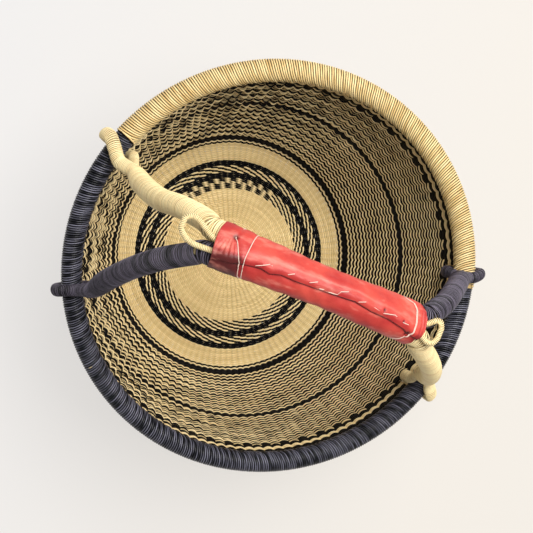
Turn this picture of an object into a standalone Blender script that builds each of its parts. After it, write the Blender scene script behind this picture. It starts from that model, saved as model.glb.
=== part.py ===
"""A round straw basket: twined floor and wall, a bound rim, and two handles that cross under a leather grip.

The basket stands on the plane z = 0 with its centre on the Z axis. +X runs along the grip. The handles hang
on the rim by four eyes with slack under it, so the handles lift a little before they carry the basket.
"""

import math

import bmesh
import bpy
from mathutils import Vector

# Every piece keeps this gap to its neighbours.
CLEARANCE = 0.0003
# Points closer than this are one point of a mesh.
MERGE_DISTANCE = 0.000001

# Twined straw of the floor and the wall, counted in rows of weft.
WEAVE_THICKNESS = 0.0045
FLOOR_FLAT_RADIUS = 0.1125
FLOOR_ROW_PITCH = 0.00195
FLOOR_DISC_ROWS = 38
PATTERN_RING_ROWS = 16
FLOOR_BAND_ROWS = 10
CORNER_RADIUS = 0.020
WALL_FOOT_LEAN = math.radians(35)
WALL_TOP_LEAN = math.radians(8)
WALL_FOOT_PULL_SHARE = 0.33
WALL_TOP_PULL_SHARE = 0.33
BLACK_RING_ROWS = 4
LOWER_WALL_ROWS = 32
MIDDLE_RING_ROWS = 2
ALL_WALL_ROWS = 76
ROWS_UNDER_SLOT = 2
# The wall stands out where it is woven round a pair of stakes, and sinks between the pairs.
WALL_STAKE_PAIRS = 60
STAKE_RIB_DEPTH = 0.0008

# Rim: a grass bundle bound with natural straw on one side and navy straw on the other.
RIM_RADIUS = 0.1928
RIM_HEIGHT = 0.195
RIM_CORE_RADIUS = 0.0080
NATURAL_RIM_WRAP = 0.0033
NAVY_RIM_WRAP = 0.0020
WALL_INSET = 0.0075
# The mouth lies a little off the middle of the floor, and is a little oval.
MOUTH_SHIFT = 0.0078
MOUTH_SHIFT_ANGLE = math.radians(8)
MOUTH_OVAL = 0.0034
MOUTH_OVAL_ANGLE = math.radians(40)
NATURAL_RIM_START = math.radians(12)
NATURAL_RIM_END = math.radians(157.5)

# Eyes: the split end of a handle, led over the rim, through the wall and back up.
NATURAL_LEFT_ANGLE = math.radians(161)
NATURAL_RIGHT_ANGLE = math.radians(-18.6)
NAVY_LEFT_ANGLE = math.radians(204.4)
NAVY_RIGHT_ANGLE = math.radians(15.2)
LIFT_TRAVEL = 0.006
EYE_CLEARANCE = 0.0006
EYE_HALF_DEPTH = 0.0046
EYE_HALF_WIDTH = 0.0058
EYE_SPLAY = math.radians(60)
EYE_LEG_LENGTH = 0.013
EYE_CROTCH_HEIGHT = 0.013
EYE_PULL_SHARE = 0.62
CROTCH_PULL_SHARE = 0.55
NECK_LEAN = math.radians(25)
SLOT_CLEARANCE = 0.0010
SLOT_OVERRUN = 0.010

# Handles: a grass core in a straw binding.
HANDLE_CORE_RADIUS = 0.0082
HANDLE_WRAP = 0.0016
HANDLE_WRAP_END = 0.0005
WRAP_TAPER_LENGTH = 0.010
BINDING_START = 0.0055
LEFT_SPREAD = 0.0146
RIGHT_SPREAD = 0.0151
SPREAD_REACH = 0.0085
SPREAD_FALL = 0.0080
NECK_WRAP = 0.0008
ROUND_OFF_LENGTH = 0.020
MOUTH_TURN_SHARE = 0.17
NECK_TURN_SHARE = 0.75

# Leather grip: a sheet rolled round both handles and laced where it overlaps.
GRIP_LENGTH = 0.196
GRIP_HEIGHT = 0.206
GRIP_SAG = 0.016
GRIP_CENTRE_X = 0.0035
GRIP_CENTRE_Y = -0.0018
GRIP_TURN = math.radians(-3.6)
LEATHER_THICKNESS = 0.0017
GRIP_HALF_WIDTH = 0.0170
GRIP_HALF_HEIGHT = 0.0131
LEFT_MOUTH_HALF_WIDTH = 0.0204
RIGHT_MOUTH_HALF_WIDTH = 0.0188
MOUTH_HALF_HEIGHT = 0.0146
MOUTH_FLARE_SHARE = 0.9
SEAM_ANGLE = math.radians(113)
SEAM_OVERLAP = math.radians(26)
SEAM_RISE = math.radians(34)
SEAM_STEP_DOWN = math.radians(14)
TWIST_END_SHARE = 0.72
FLATTEN_END_SHARE = 0.84

# Thread of the seam and cords tied round the grip.
THREAD_RADIUS = 0.0006
STITCH_COUNT = 11
STITCH_RISE = 0.0005
SEAM_START_SHARE = -0.56
SEAM_END_SHARE = 0.76
THREAD_INSET = math.radians(14)
TIE_RADIUS = 0.0007
LEFT_OUTER_TIE_SHARE = -0.80
LEFT_INNER_TIE_SHARE = -0.67
RIGHT_TIE_SHARE = 0.86
TIE_SLANT_SHARE = 0.035
TIE_SLACK_SHARE = 0.06

# Bound cord loops that stick out of the grip's mouths.
LOOP_CORD_RADIUS = 0.0026
LOOP_HEADROOM = 0.0016
LOOP_RISE = 0.0070
LOOP_TAIL_SHARE = 0.86
LEFT_LOOP_REACH = 0.031
RIGHT_LOOP_REACH = 0.019
LEFT_LOOP_HALF_WIDTH = 0.0115
RIGHT_LOOP_HALF_WIDTH = 0.0095
LOOP_LEG_HALF_SPAN = 0.0047
LOOP_SIDE_OFFSET = 0.0021
LOOP_BEND_SHARE = 1.35
LOOP_LEG_PULL_SHARE = 0.35
LOOP_TIP_PULL_SHARE = 0.25
LOOP_TIP_SHARE = 0.35

# Routes of the arms between an eye's neck and a mouth of the grip: how far along, and how far aside and
# outward, each as a share of the straight distance.
NATURAL_LEFT_ROUTE_SHARES = ((0.24, -0.035, 0.02), (0.55, -0.050, 0.045), (0.80, -0.020, 0.045))
NAVY_LEFT_ROUTE_SHARES = ((0.24, 0.030, 0.02), (0.55, 0.048, 0.045), (0.80, 0.040, 0.045))
NATURAL_RIGHT_ROUTE_SHARES = ((0.22, 0.0, 0.055), (0.52, 0.0, 0.075), (0.80, 0.0, 0.050))
NAVY_RIGHT_ROUTE_SHARES = ((0.24, 0.0, 0.015), (0.55, 0.0, 0.030), (0.80, 0.0, 0.030))

# Straw, grass, leather and thread, as plain colours.
NATURAL = (0.66, 0.52, 0.30)
NAVY = (0.035, 0.035, 0.06)
WOVEN_NATURAL = (0.62, 0.49, 0.27)
WOVEN_BLACK = (0.05, 0.05, 0.055)
WOVEN_MIXED = (0.34, 0.28, 0.17)
WOVEN_DARK = (0.16, 0.13, 0.09)
GRASS = (0.58, 0.46, 0.26)
LEATHER = (0.52, 0.055, 0.045)
THREAD = (0.80, 0.72, 0.62)

# Counts of facets, and the edge angle from which shading is sharp.
SHARP_ANGLE = math.radians(40)
RING_STEPS = 48
CORNER_STEPS = 12
WALL_STEPS = 48
SEAT_STEPS = 2
SLOT_STEPS = 4
EYE_LEG_STEPS = 5
LOOP_STEPS = 6
STITCH_STEPS = 3
STATION_BIAS = 1.4
DIRECTION_STEP_SHARE = 0.01
RIM_SIDES = 8
HANDLE_SIDES = 10
LOOP_SIDES = 7
EYE_SIDES = 8
EYE_ARC_STEP = math.radians(20)
ARM_STATIONS = 9
GRIP_STATIONS = 14
SLEEVE_SIDES = 20
TIE_STEPS = 20
THREAD_SIDES = 4

RIM_PLANE = WEAVE_THICKNESS + RIM_HEIGHT
NATURAL_RIM_RADIUS = RIM_CORE_RADIUS + CLEARANCE + NATURAL_RIM_WRAP
NAVY_RIM_RADIUS = RIM_CORE_RADIUS + CLEARANCE + NAVY_RIM_WRAP
RIM_SEAT_RADIUS = max(NATURAL_RIM_RADIUS, NAVY_RIM_RADIUS) + CLEARANCE
UP = Vector((0, 0, 1))


def finish(name, colour, roughness):
    """A plain coat for one sub-part."""
    material = bpy.data.materials.new(name)
    material.use_nodes = True
    shader = material.node_tree.nodes["Principled BSDF"]
    shader.inputs["Base Color"].default_value = (*colour, 1)
    shader.inputs["Roughness"].default_value = roughness
    shader.inputs["Metallic"].default_value = 0
    material.diffuse_color = (*colour, 1)
    return material


def piece(name, mesh, colour, roughness, parent=None):
    """Turns a finished mesh into a smooth-shaded object with its own material."""
    bmesh.ops.recalc_face_normals(mesh, faces=mesh.faces)
    data = bpy.data.meshes.new(name)
    mesh.to_mesh(data)
    mesh.free()
    data.shade_smooth()
    data.set_sharp_from_angle(angle=SHARP_ANGLE)
    data.materials.append(finish(name, colour, roughness))
    made = bpy.data.objects.new(name, data)
    bpy.context.scene.collection.objects.link(made)
    made.parent = parent
    return made


def blend(start, end, share):
    return start + (end - start) * share


def eased(value):
    """0 below 0, 1 above 1, and a smooth step between."""
    value = min(max(value, 0), 1)
    return value * value * (3 - 2 * value)


def circle(centre, radius, sides):
    """Points round a circle in a half-plane through the Z axis."""
    turns = [math.tau * side / sides for side in range(sides)]
    return [(centre[0] + radius * math.cos(a), centre[1] + radius * math.sin(a)) for a in turns]


def drift(angle):
    """How far the mouth lies outside its mean circle at an angle round the Z axis."""
    shift = MOUTH_SHIFT * math.cos(angle - MOUTH_SHIFT_ANGLE)
    return shift + MOUTH_OVAL * math.cos(2 * (angle - MOUTH_OVAL_ANGLE))


def rim_place(angle):
    """The middle of the rim at an angle, in the rim's own plane, and the outward direction square to it."""
    radial = Vector((math.cos(angle), math.sin(angle), 0))
    radius = RIM_RADIUS + drift(angle)
    slope = -MOUTH_SHIFT * math.sin(angle - MOUTH_SHIFT_ANGLE)
    slope -= 2 * MOUTH_OVAL * math.sin(2 * (angle - MOUTH_OVAL_ANGLE))
    return radial * radius, (radial * radius - UP.cross(radial) * slope).normalized()


def drawn_out(mesh):
    """Draws a round mesh out to the mouth's own outline, the more so the higher a point lies."""
    for point in mesh.verts:
        angle = math.atan2(point.co.y, point.co.x)
        share = eased(point.co.z / (RIM_PLANE - RIM_SEAT_RADIUS))
        point.co += Vector((math.cos(angle), math.sin(angle), 0)) * (drift(angle) * share)
    return mesh


def turned(outline):
    """Spins a closed outline of (radius, height) about the Z axis, and draws it out to the mouth's outline."""
    mesh = bmesh.new()
    points = [mesh.verts.new((radius, 0, height)) for radius, height in outline]
    for index, point in enumerate(points):
        mesh.edges.new((point, points[(index + 1) % len(points)]))
    profile = mesh.verts[:] + mesh.edges[:]
    bmesh.ops.spin(mesh, geom=profile, cent=(0, 0, 0), axis=(0, 0, 1), angle=math.tau, steps=RING_STEPS)
    bmesh.ops.remove_doubles(mesh, verts=mesh.verts, dist=MERGE_DISTANCE)
    bmesh.ops.dissolve_degenerate(mesh, edges=mesh.edges, dist=MERGE_DISTANCE)
    return drawn_out(mesh)


def lofted(rings, bores=None, closed=False):
    """Skins rings of points in order. Bores are the rings of a hollow that runs through the loft.

    Every loft is cut into triangles the same way, so that a bore keeps its gap to the loft inside it.
    """
    mesh = bmesh.new()
    skins = []
    for course in [rings] + ([bores] if bores else []):
        rows = [[mesh.verts.new(point) for point in ring] for ring in course]
        pairs = list(zip(rows, rows[1:])) + ([(rows[-1], rows[0])] if closed else [])
        for first, second in pairs:
            for side in range(len(first)):
                after = (side + 1) % len(first)
                mesh.faces.new((first[side], first[after], second[after]))
                mesh.faces.new((first[side], second[after], second[side]))
        skins.append(rows)
    if closed:
        return mesh
    for end in (0, -1):
        if bores:
            outer, inner = skins[0][end], skins[1][end]
            for side in range(len(outer)):
                after = (side + 1) % len(outer)
                mesh.faces.new((outer[side], outer[after], inner[after], inner[side]))
        else:
            mesh.faces.new(skins[0][end])
    return mesh


def oval(centre, across, upward, half_width, half_height, sides):
    """Points of an oval ring round a centre."""
    ring = []
    for side in range(sides):
        angle = math.tau * side / sides
        ring.append(
            centre + across * (half_width * math.cos(angle)) + upward * (half_height * math.sin(angle))
        )
    return ring


def bezier(first, second, third, fourth, steps):
    """Points of a cubic curve, its ends included."""
    points = []
    for step in range(steps + 1):
        t = step / steps
        s = 1 - t
        points.append(
            first * s**3 + second * (3 * s * s * t) + third * (3 * s * t * t) + fourth * t**3
        )
    return points


def inner_face():
    """The basket's inner face from the centre out and up, as lengths and (radius, height) points."""
    turn = math.pi / 2 - WALL_FOOT_LEAN
    points = [Vector((0, WEAVE_THICKNESS)), Vector((FLOOR_FLAT_RADIUS, WEAVE_THICKNESS))]
    for step in range(1, CORNER_STEPS + 1):
        angle = turn * step / CORNER_STEPS
        points.append(
            Vector((
                FLOOR_FLAT_RADIUS + CORNER_RADIUS * math.sin(angle),
                WEAVE_THICKNESS + CORNER_RADIUS * (1 - math.cos(angle)),
            ))
        )
    foot = points[-1]
    top = Vector((
        RIM_RADIUS - WALL_INSET,
        RIM_PLANE - math.sqrt(RIM_SEAT_RADIUS**2 - WALL_INSET**2),
    ))
    rise = (top - foot).length
    leaning = Vector((math.sin(WALL_FOOT_LEAN), math.cos(WALL_FOOT_LEAN)))
    flaring = Vector((math.sin(WALL_TOP_LEAN), math.cos(WALL_TOP_LEAN)))
    belly = foot + leaning * (WALL_FOOT_PULL_SHARE * rise)
    neck = top - flaring * (WALL_TOP_PULL_SHARE * rise)
    points += bezier(foot, belly, neck, top, WALL_STEPS)[1:]
    lengths = [0]
    for before, after in zip(points, points[1:]):
        lengths.append(lengths[-1] + (after - before).length)
    return list(zip(lengths, points))


def face_point(face, length):
    """The point of the inner face at this length, and the direction out of the basket there."""
    for (start, before), (end, after) in zip(face, face[1:]):
        if length <= end or (end, after) == face[-1]:
            direction = (after - before).normalized()
            point = before + direction * (length - start)
            return point, Vector((direction.y, -direction.x))


def weave_outline(face, start, end, steps, sunk=0):
    """The closed outline of a run of weave between two lengths, with both its faces sunk by the last value."""
    inner, outer = [], []
    for step in range(steps + 1):
        point, outward = face_point(face, blend(start, end, step / steps))
        inner.append(point + outward * sunk)
        outer.append(point + outward * (WEAVE_THICKNESS - sunk))
    return outer + inner[::-1]


def weave_runs(face):
    """Where each run of weave starts and ends along the inner face, by name.

    The rows under the rim reach down past the slots, and the upper wall has the rows that are left.
    """
    floor_rows = FLOOR_DISC_ROWS + PATTERN_RING_ROWS + FLOOR_BAND_ROWS
    wall_pitch = (face[-1][0] - floor_rows * FLOOR_ROW_PITCH) / ALL_WALL_ROWS
    top_rows = math.ceil(slot_length(face) / wall_pitch) + ROWS_UNDER_SLOT
    upper_rows = ALL_WALL_ROWS - BLACK_RING_ROWS - LOWER_WALL_ROWS - MIDDLE_RING_ROWS - top_rows
    runs, start = {}, 0
    for name, rows, pitch in (
        ("base_weave", FLOOR_DISC_ROWS, FLOOR_ROW_PITCH),
        ("pattern_ring_weave", PATTERN_RING_ROWS, FLOOR_ROW_PITCH),
        ("floor_band_weave", FLOOR_BAND_ROWS, FLOOR_ROW_PITCH),
        ("black_ring_weave", BLACK_RING_ROWS, wall_pitch),
        ("lower_wall_weave", LOWER_WALL_ROWS, wall_pitch),
        ("middle_ring_weave", MIDDLE_RING_ROWS, wall_pitch),
        ("upper_wall_weave", upper_rows, wall_pitch),
        ("top_ring_weave", top_rows, wall_pitch),
    ):
        end = start + rows * pitch
        runs[name] = (start + CLEARANCE / 2, end - CLEARANCE / 2)
        start = end
    return runs


def weave_run(name, face, runs, steps, colour):
    start, end = runs[name]
    return piece(name, turned(weave_outline(face, start, end, steps)), colour, 0.75)


def ribbed_run(name, face, runs, steps, colour):
    """A run of the wall with an upright rib on both its faces at each pair of stakes."""
    start, end = runs[name]
    rings = []
    for step in range(2 * WALL_STAKE_PAIRS):
        angle = math.pi * step / WALL_STAKE_PAIRS
        radial = Vector((math.cos(angle), math.sin(angle), 0))
        outline = weave_outline(face, start, end, steps, STAKE_RIB_DEPTH * (step % 2))
        rings.append([radial * point.x + UP * point.y for point in outline])
    return piece(name, drawn_out(lofted(rings, closed=True)), colour, 0.75)


def base_weave(runs):
    """The natural disc in the middle of the floor: its flat underside is what the basket stands on."""
    radius = runs["base_weave"][1]
    outline = [(0, 0), (radius, 0), (radius, WEAVE_THICKNESS), (0, WEAVE_THICKNESS)]
    return piece("base_weave", turned(outline), WOVEN_NATURAL, 0.75)


def pattern_ring_weave(face, runs):
    return weave_run("pattern_ring_weave", face, runs, 1, WOVEN_DARK)


def floor_band_weave(face, runs):
    return weave_run("floor_band_weave", face, runs, 2, WOVEN_NATURAL)


def black_ring_weave(face, runs):
    return weave_run("black_ring_weave", face, runs, 2, WOVEN_BLACK)


def lower_wall_weave(face, runs):
    return ribbed_run("lower_wall_weave", face, runs, 2, WOVEN_MIXED)


def middle_ring_weave(face, runs):
    return ribbed_run("middle_ring_weave", face, runs, 1, WOVEN_BLACK)


def upper_wall_weave(face, runs):
    return ribbed_run("upper_wall_weave", face, runs, 2, WOVEN_MIXED)


def slot_depth():
    """How far a slot for an eye reaches below the wall's top edge."""
    reach = LIFT_TRAVEL + max(NATURAL_RIM_RADIUS, NAVY_RIM_RADIUS) + EYE_CLEARANCE + 2 * EYE_HALF_DEPTH
    return reach + SLOT_CLEARANCE - math.sqrt(RIM_SEAT_RADIUS**2 - WALL_INSET**2)


def slot_length(face):
    """How far a slot reaches down the inner face from the wall's top edge."""
    bottom = face[-1][1].y - slot_depth()
    for (start, before), (end, after) in zip(face, face[1:]):
        if before.y <= bottom < after.y:
            return face[-1][0] - blend(start, end, (bottom - before.y) / (after.y - before.y))


def top_ring_weave(face, runs):
    """The rows under the rim. Their top edge fits the rim's underside, and the eyes go through four slots."""
    start, _ = runs["top_ring_weave"]
    inner_top = face[-1][1]
    corners = weave_outline(face, start, face[-1][0], 2)
    lower_outer, middle_outer, upper_outer, _, middle_inner, lower_inner = corners
    seat_from = -math.acos((upper_outer.x - RIM_RADIUS) / RIM_SEAT_RADIUS)
    seat_to = math.atan2(inner_top.y - RIM_PLANE, inner_top.x - RIM_RADIUS)
    seat = []
    for step in range(SEAT_STEPS + 1):
        angle = blend(seat_from, seat_to, step / SEAT_STEPS)
        outward, height = RIM_SEAT_RADIUS * math.cos(angle), RIM_SEAT_RADIUS * math.sin(angle)
        seat.append(Vector((RIM_RADIUS + outward, RIM_PLANE + height)))
    outline = [lower_outer, middle_outer, *seat, middle_inner, lower_inner]
    ring = piece("top_ring_weave", turned(outline), WOVEN_DARK, 0.75)
    for name, angle in (
        ("natural_left_slot", NATURAL_LEFT_ANGLE),
        ("natural_right_slot", NATURAL_RIGHT_ANGLE),
        ("navy_left_slot", NAVY_LEFT_ANGLE),
        ("navy_right_slot", NAVY_RIGHT_ANGLE),
    ):
        cut = ring.modifiers.new(name, "BOOLEAN")
        cut.operation = "DIFFERENCE"
        cut.solver = "EXACT"
        cut.object = slot_cutter(name, angle, inner_top.y - slot_depth())
    return ring


def slot_cutter(name, angle, bottom):
    """A round-bottomed prism square to the rim, wider than an eye's leg, from a slot's bottom up to the rim."""
    half_width = EYE_HALF_WIDTH + SLOT_CLEARANCE
    centre = bottom + half_width
    outline = [(half_width, RIM_PLANE), (-half_width, RIM_PLANE)]
    for step in range(SLOT_STEPS + 1):
        turn = math.pi + math.pi * step / SLOT_STEPS
        outline.append((half_width * math.cos(turn), centre + half_width * math.sin(turn)))
    place, outward = rim_place(angle)
    across = UP.cross(outward)
    rings = []
    for reach in (-SLOT_OVERRUN, WEAVE_THICKNESS + SLOT_OVERRUN):
        start = place + outward * (reach - WALL_INSET)
        rings.append([start + across * side + UP * height for side, height in outline])
    cutter = piece(name, lofted(rings), WOVEN_DARK, 0.75)
    cutter.hide_render = True
    cutter.display_type = "WIRE"
    return cutter


def rim_core():
    """The bundle of grass inside the rim."""
    section = circle((RIM_RADIUS, RIM_PLANE), RIM_CORE_RADIUS, RIM_SIDES)
    return piece("rim_core", turned(section), GRASS, 0.8)


def rim_binding(name, wrap, start, end, colour):
    """The straw wound round one part of the rim's core, faceted where the core is."""
    bore = RIM_CORE_RADIUS + CLEARANCE
    gap = CLEARANCE / (2 * RIM_RADIUS)
    facet = math.tau / RING_STEPS
    first, last = start + gap, end - gap
    angles = [first]
    angles += [facet * step for step in range(math.ceil(first / facet), math.floor(last / facet) + 1)]
    angles.append(last)
    outer, inner = [], []
    for angle in angles:
        radial = Vector((math.cos(angle), math.sin(angle), 0))
        chord = math.cos(facet / 2) / math.cos(angle % facet - facet / 2)
        for rings, radius in ((outer, bore + wrap), (inner, bore)):
            section = circle((RIM_RADIUS, RIM_PLANE), radius, RIM_SIDES)
            rings.append([radial * (outward * chord) + UP * height for outward, height in section])
    return piece(name, drawn_out(lofted(outer, inner)), colour, 0.6)


def natural_rim_binding():
    return rim_binding("natural_rim_binding", NATURAL_RIM_WRAP, NATURAL_RIM_START, NATURAL_RIM_END, NATURAL)


def navy_rim_binding():
    return rim_binding("navy_rim_binding", NAVY_RIM_WRAP, NATURAL_RIM_END, NATURAL_RIM_START + math.tau, NAVY)


def neck_axis(angle):
    """The direction in which a handle leaves its eye, up and towards the middle."""
    _, outward = rim_place(angle)
    return UP * math.cos(NECK_LEAN) - outward * math.sin(NECK_LEAN)


def neck_reach(rim_radius):
    """How far from the rim's centre an eye's legs end inside the binding."""
    return rim_radius + EYE_CLEARANCE + EYE_CROTCH_HEIGHT + EYE_LEG_LENGTH


def eye_route(rim_radius):
    """The middle line of an eye in its upright plane, as (outward, up) from the rim's centre."""
    ring = rim_radius + EYE_CLEARANCE + EYE_HALF_DEPTH
    neck = math.pi / 2 + NECK_LEAN
    axis = Vector((math.cos(neck), math.sin(neck)))
    aside = Vector((-axis.y, axis.x))
    apart = EYE_HALF_DEPTH + CLEARANCE / 2
    top = axis * neck_reach(rim_radius)
    fork = axis * (neck_reach(rim_radius) - EYE_LEG_LENGTH)
    low = Vector((0, -LIFT_TRAVEL))

    def on_ring(angle):
        return Vector((math.cos(angle), math.sin(angle))) * ring

    def forward(angle):
        return Vector((math.sin(angle), -math.cos(angle)))

    outer_turn, inner_turn = neck - EYE_SPLAY, neck + EYE_SPLAY
    pull = ring * EYE_PULL_SHARE
    drop = axis * (pull * CROTCH_PULL_SHARE)
    outer_fork, inner_fork = fork - aside * apart, fork + aside * apart
    outer_foot, inner_foot = on_ring(outer_turn), on_ring(inner_turn)
    outer_leg = bezier(
        outer_fork, outer_fork - drop, outer_foot - forward(outer_turn) * pull, outer_foot, EYE_LEG_STEPS
    )
    inner_leg = bezier(
        inner_foot, inner_foot + forward(inner_turn) * pull, inner_fork - drop, inner_fork, EYE_LEG_STEPS
    )
    points = [top - aside * apart] + outer_leg
    points += [on_ring(a) for a in arc_angles(outer_turn, 0)]
    points += [low + on_ring(a) for a in arc_angles(0, -math.pi, first=True)]
    points += [on_ring(a) for a in arc_angles(math.pi, inner_turn, first=True)][:-1]
    return points + inner_leg + [top + aside * apart]


def arc_angles(start, end, first=False):
    """Angles from start to end in even steps, without the start unless it is asked for."""
    steps = max(1, math.ceil(abs(end - start) / EYE_ARC_STEP))
    angles = [blend(start, end, step / steps) for step in range(steps + 1)]
    return angles if first else angles[1:]


def eye(name, angle, rim_radius, colour, parent):
    """One handle end: two legs in the handle's binding, and a loop round the rim that leaves room to lift."""
    place, outward = rim_place(angle)
    across = UP.cross(outward)
    route = eye_route(rim_radius)
    rings = []
    for index, point in enumerate(route):
        before, after = route[max(index - 1, 0)], route[min(index + 1, len(route) - 1)]
        along = (after - before).normalized()
        normal = outward * -along.y + UP * along.x
        centre = place + outward * point.x + UP * point.y
        rings.append(oval(centre, across, normal, EYE_HALF_WIDTH, EYE_HALF_DEPTH, EYE_SIDES))
    return piece(name, lofted(rings), colour, 0.6, parent)


def grip_station(share):
    """Centre, direction, side and upward vectors of the grip at a share of its half length."""
    direction = Vector((math.cos(GRIP_TURN), math.sin(GRIP_TURN), 0))
    side = UP.cross(direction)
    half = GRIP_LENGTH / 2
    centre = Vector((GRIP_CENTRE_X, GRIP_CENTRE_Y, GRIP_HEIGHT - GRIP_SAG * share * share))
    centre += direction * (half * share)
    along = (direction * half - UP * (2 * GRIP_SAG * share)).normalized()
    return centre, along, side, along.cross(side)


def sleeve_size(share):
    """Half width and half height of the room inside the leather at a share of the grip's half length."""
    mouth = LEFT_MOUTH_HALF_WIDTH if share < 0 else RIGHT_MOUTH_HALF_WIDTH
    spread = eased(abs(share) / MOUTH_FLARE_SHARE)
    half_width = blend(GRIP_HALF_WIDTH, mouth, spread) - LEATHER_THICKNESS
    half_height = blend(GRIP_HALF_HEIGHT, MOUTH_HALF_HEIGHT, spread) - LEATHER_THICKNESS
    return half_width, half_height


def mouth_core_half_height():
    """Half height of a core at a mouth, where the loops' legs lie on top of it."""
    return (
        MOUTH_HALF_HEIGHT - LEATHER_THICKNESS - 2 * LOOP_CORD_RADIUS - CLEARANCE - LOOP_HEADROOM
    )


def core_section(share):
    """Half width, half height, side offset and rise of the upper core at a share of the grip's half length.

    Two equal ovals turn about each other, so that they touch nowhere and fill the sleeve.
    """
    room_width, room_height = sleeve_size(share)
    half_width = (room_width - CLEARANCE) / 2 - CLEARANCE / 4
    half_height = (room_height - CLEARANCE) / 2 - CLEARANCE / 4
    turn = math.pi / 2 * min(max(share / TWIST_END_SHARE, -1), 1)
    flat = eased((abs(share) - TWIST_END_SHARE) / (FLATTEN_END_SHARE - TWIST_END_SHARE))
    height = blend(half_height, mouth_core_half_height(), flat)
    aside = -(half_width + CLEARANCE / 2) * math.sin(turn)
    rise = (half_height + CLEARANCE / 2) * math.cos(turn)
    return half_width, height, aside, rise


class Arm:
    """The middle line of a handle between a mouth of the grip and an eye's neck."""

    def __init__(self, end, over, angle, rim_radius, shares):
        self.end, self.over = end, over
        _, _, aside, _ = core_section(end)
        centre, along, side, _ = grip_station(end)
        self.mouth = centre + side * (aside * over)
        place, _ = rim_place(angle)
        self.axis = neck_axis(angle)
        self.neck = place + self.axis * (neck_reach(rim_radius) + CLEARANCE)
        self.fork = place + self.axis * (neck_reach(rim_radius) - EYE_LEG_LENGTH)
        spread = LEFT_SPREAD if end < 0 else RIGHT_SPREAD
        lead = centre + along * (end * SPREAD_REACH) - UP * SPREAD_FALL - side * (end * over * spread)
        _, _, inside_aside, _ = core_section(end * FLATTEN_END_SHARE)
        inside_centre, _, inside_side, _ = grip_station(end * FLATTEN_END_SHARE)
        span = lead - self.neck
        level = Vector((span.x, span.y, 0)).normalized()
        sideways = UP.cross(level)
        outward = span.normalized().cross(sideways)
        middle = [
            self.neck + span * far + sideways * (span.length * aside_share) + outward * (span.length * out)
            for far, aside_share, out in shares
        ]
        self.knots = [inside_centre + inside_side * (inside_aside * over), self.mouth, lead]
        self.knots += middle[::-1] + [self.neck, self.neck - self.axis * EYE_LEG_LENGTH]

    def point(self, share):
        """A point of the smooth curve through the knots: 0 at the mouth and 1 at the neck."""
        spans = len(self.knots) - 3
        place = min(max(share, 0), 1) * spans
        index = min(int(place), spans - 1)
        t = place - index
        a, b, c, d = self.knots[index:index + 4]
        return (
            b * 2
            + (c - a) * t
            + (a * 2 - b * 5 + c * 4 - d) * (t * t)
            + (b * 3 - a - c * 3 + d) * (t * t * t)
        ) / 2

    def length(self):
        steps = 4 * ARM_STATIONS
        points = [self.point(step / steps) for step in range(steps + 1)]
        return sum((after - before).length for before, after in zip(points, points[1:]))

    def stations(self):
        """Shares of the length at which the core and its binding have their rings."""
        begin = BINDING_START / self.length()
        return [blend(begin, 1, (step / ARM_STATIONS) ** STATION_BIAS) for step in range(ARM_STATIONS + 1)]

    def direction(self, share):
        before, after = max(share - DIRECTION_STEP_SHARE, 0), min(share + DIRECTION_STEP_SHARE, 1)
        return (self.point(after) - self.point(before)).normalized()


def arm_frame(arm, share):
    """Centre, across and upward vectors of an arm at a share of its length, from the mouth outward."""
    _, grip_along, side, _ = grip_station(arm.end)
    along = arm.direction(share)
    along = (grip_along * arm.end).lerp(along, eased(share / MOUTH_TURN_SHARE)).normalized()
    along = along.lerp(-arm.axis, eased((share - NECK_TURN_SHARE) / (1 - NECK_TURN_SHARE))).normalized()
    across = (side - along * side.dot(along)).normalized()
    return arm.point(share), across, across.cross(along) * -arm.end


def arm_section(arm, share):
    """Half width and half height of a core on an arm: an oval at the mouth, soon round."""
    mouth_width, mouth_height, _, _ = core_section(arm.end)
    round_off = eased(share * arm.length() / ROUND_OFF_LENGTH)
    width = blend(mouth_width, HANDLE_CORE_RADIUS, round_off)
    return width, blend(mouth_height, HANDLE_CORE_RADIUS, round_off)


def core_rings(left, right, over):
    """Rings of a handle's core from the left eye's neck through the grip to the right eye's neck."""
    courses = []
    for arm in (left, right):
        course = []
        for share in arm.stations():
            centre, across, upward = arm_frame(arm, share)
            width, height = arm_section(arm, share)
            course.append(oval(centre, across, upward, width, height, HANDLE_SIDES))
        courses.append(course)
    middle = []
    for step in range(GRIP_STATIONS + 1):
        share = -1 + 2 * step / GRIP_STATIONS
        centre, _, side, upward = grip_station(share)
        width, height, aside, rise = core_section(share)
        centre = centre + side * (aside * over) + upward * (rise * over)
        middle.append(oval(centre, side, upward, width, height, HANDLE_SIDES))
    return courses[0][::-1] + middle + courses[1]


def handle_core(name, left, right, over, parent):
    """The grass bundle of one handle, in one length from eye to eye and squeezed flat inside the leather."""
    return piece(name, lofted(core_rings(left, right, over)), GRASS, 0.8, parent)


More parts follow.
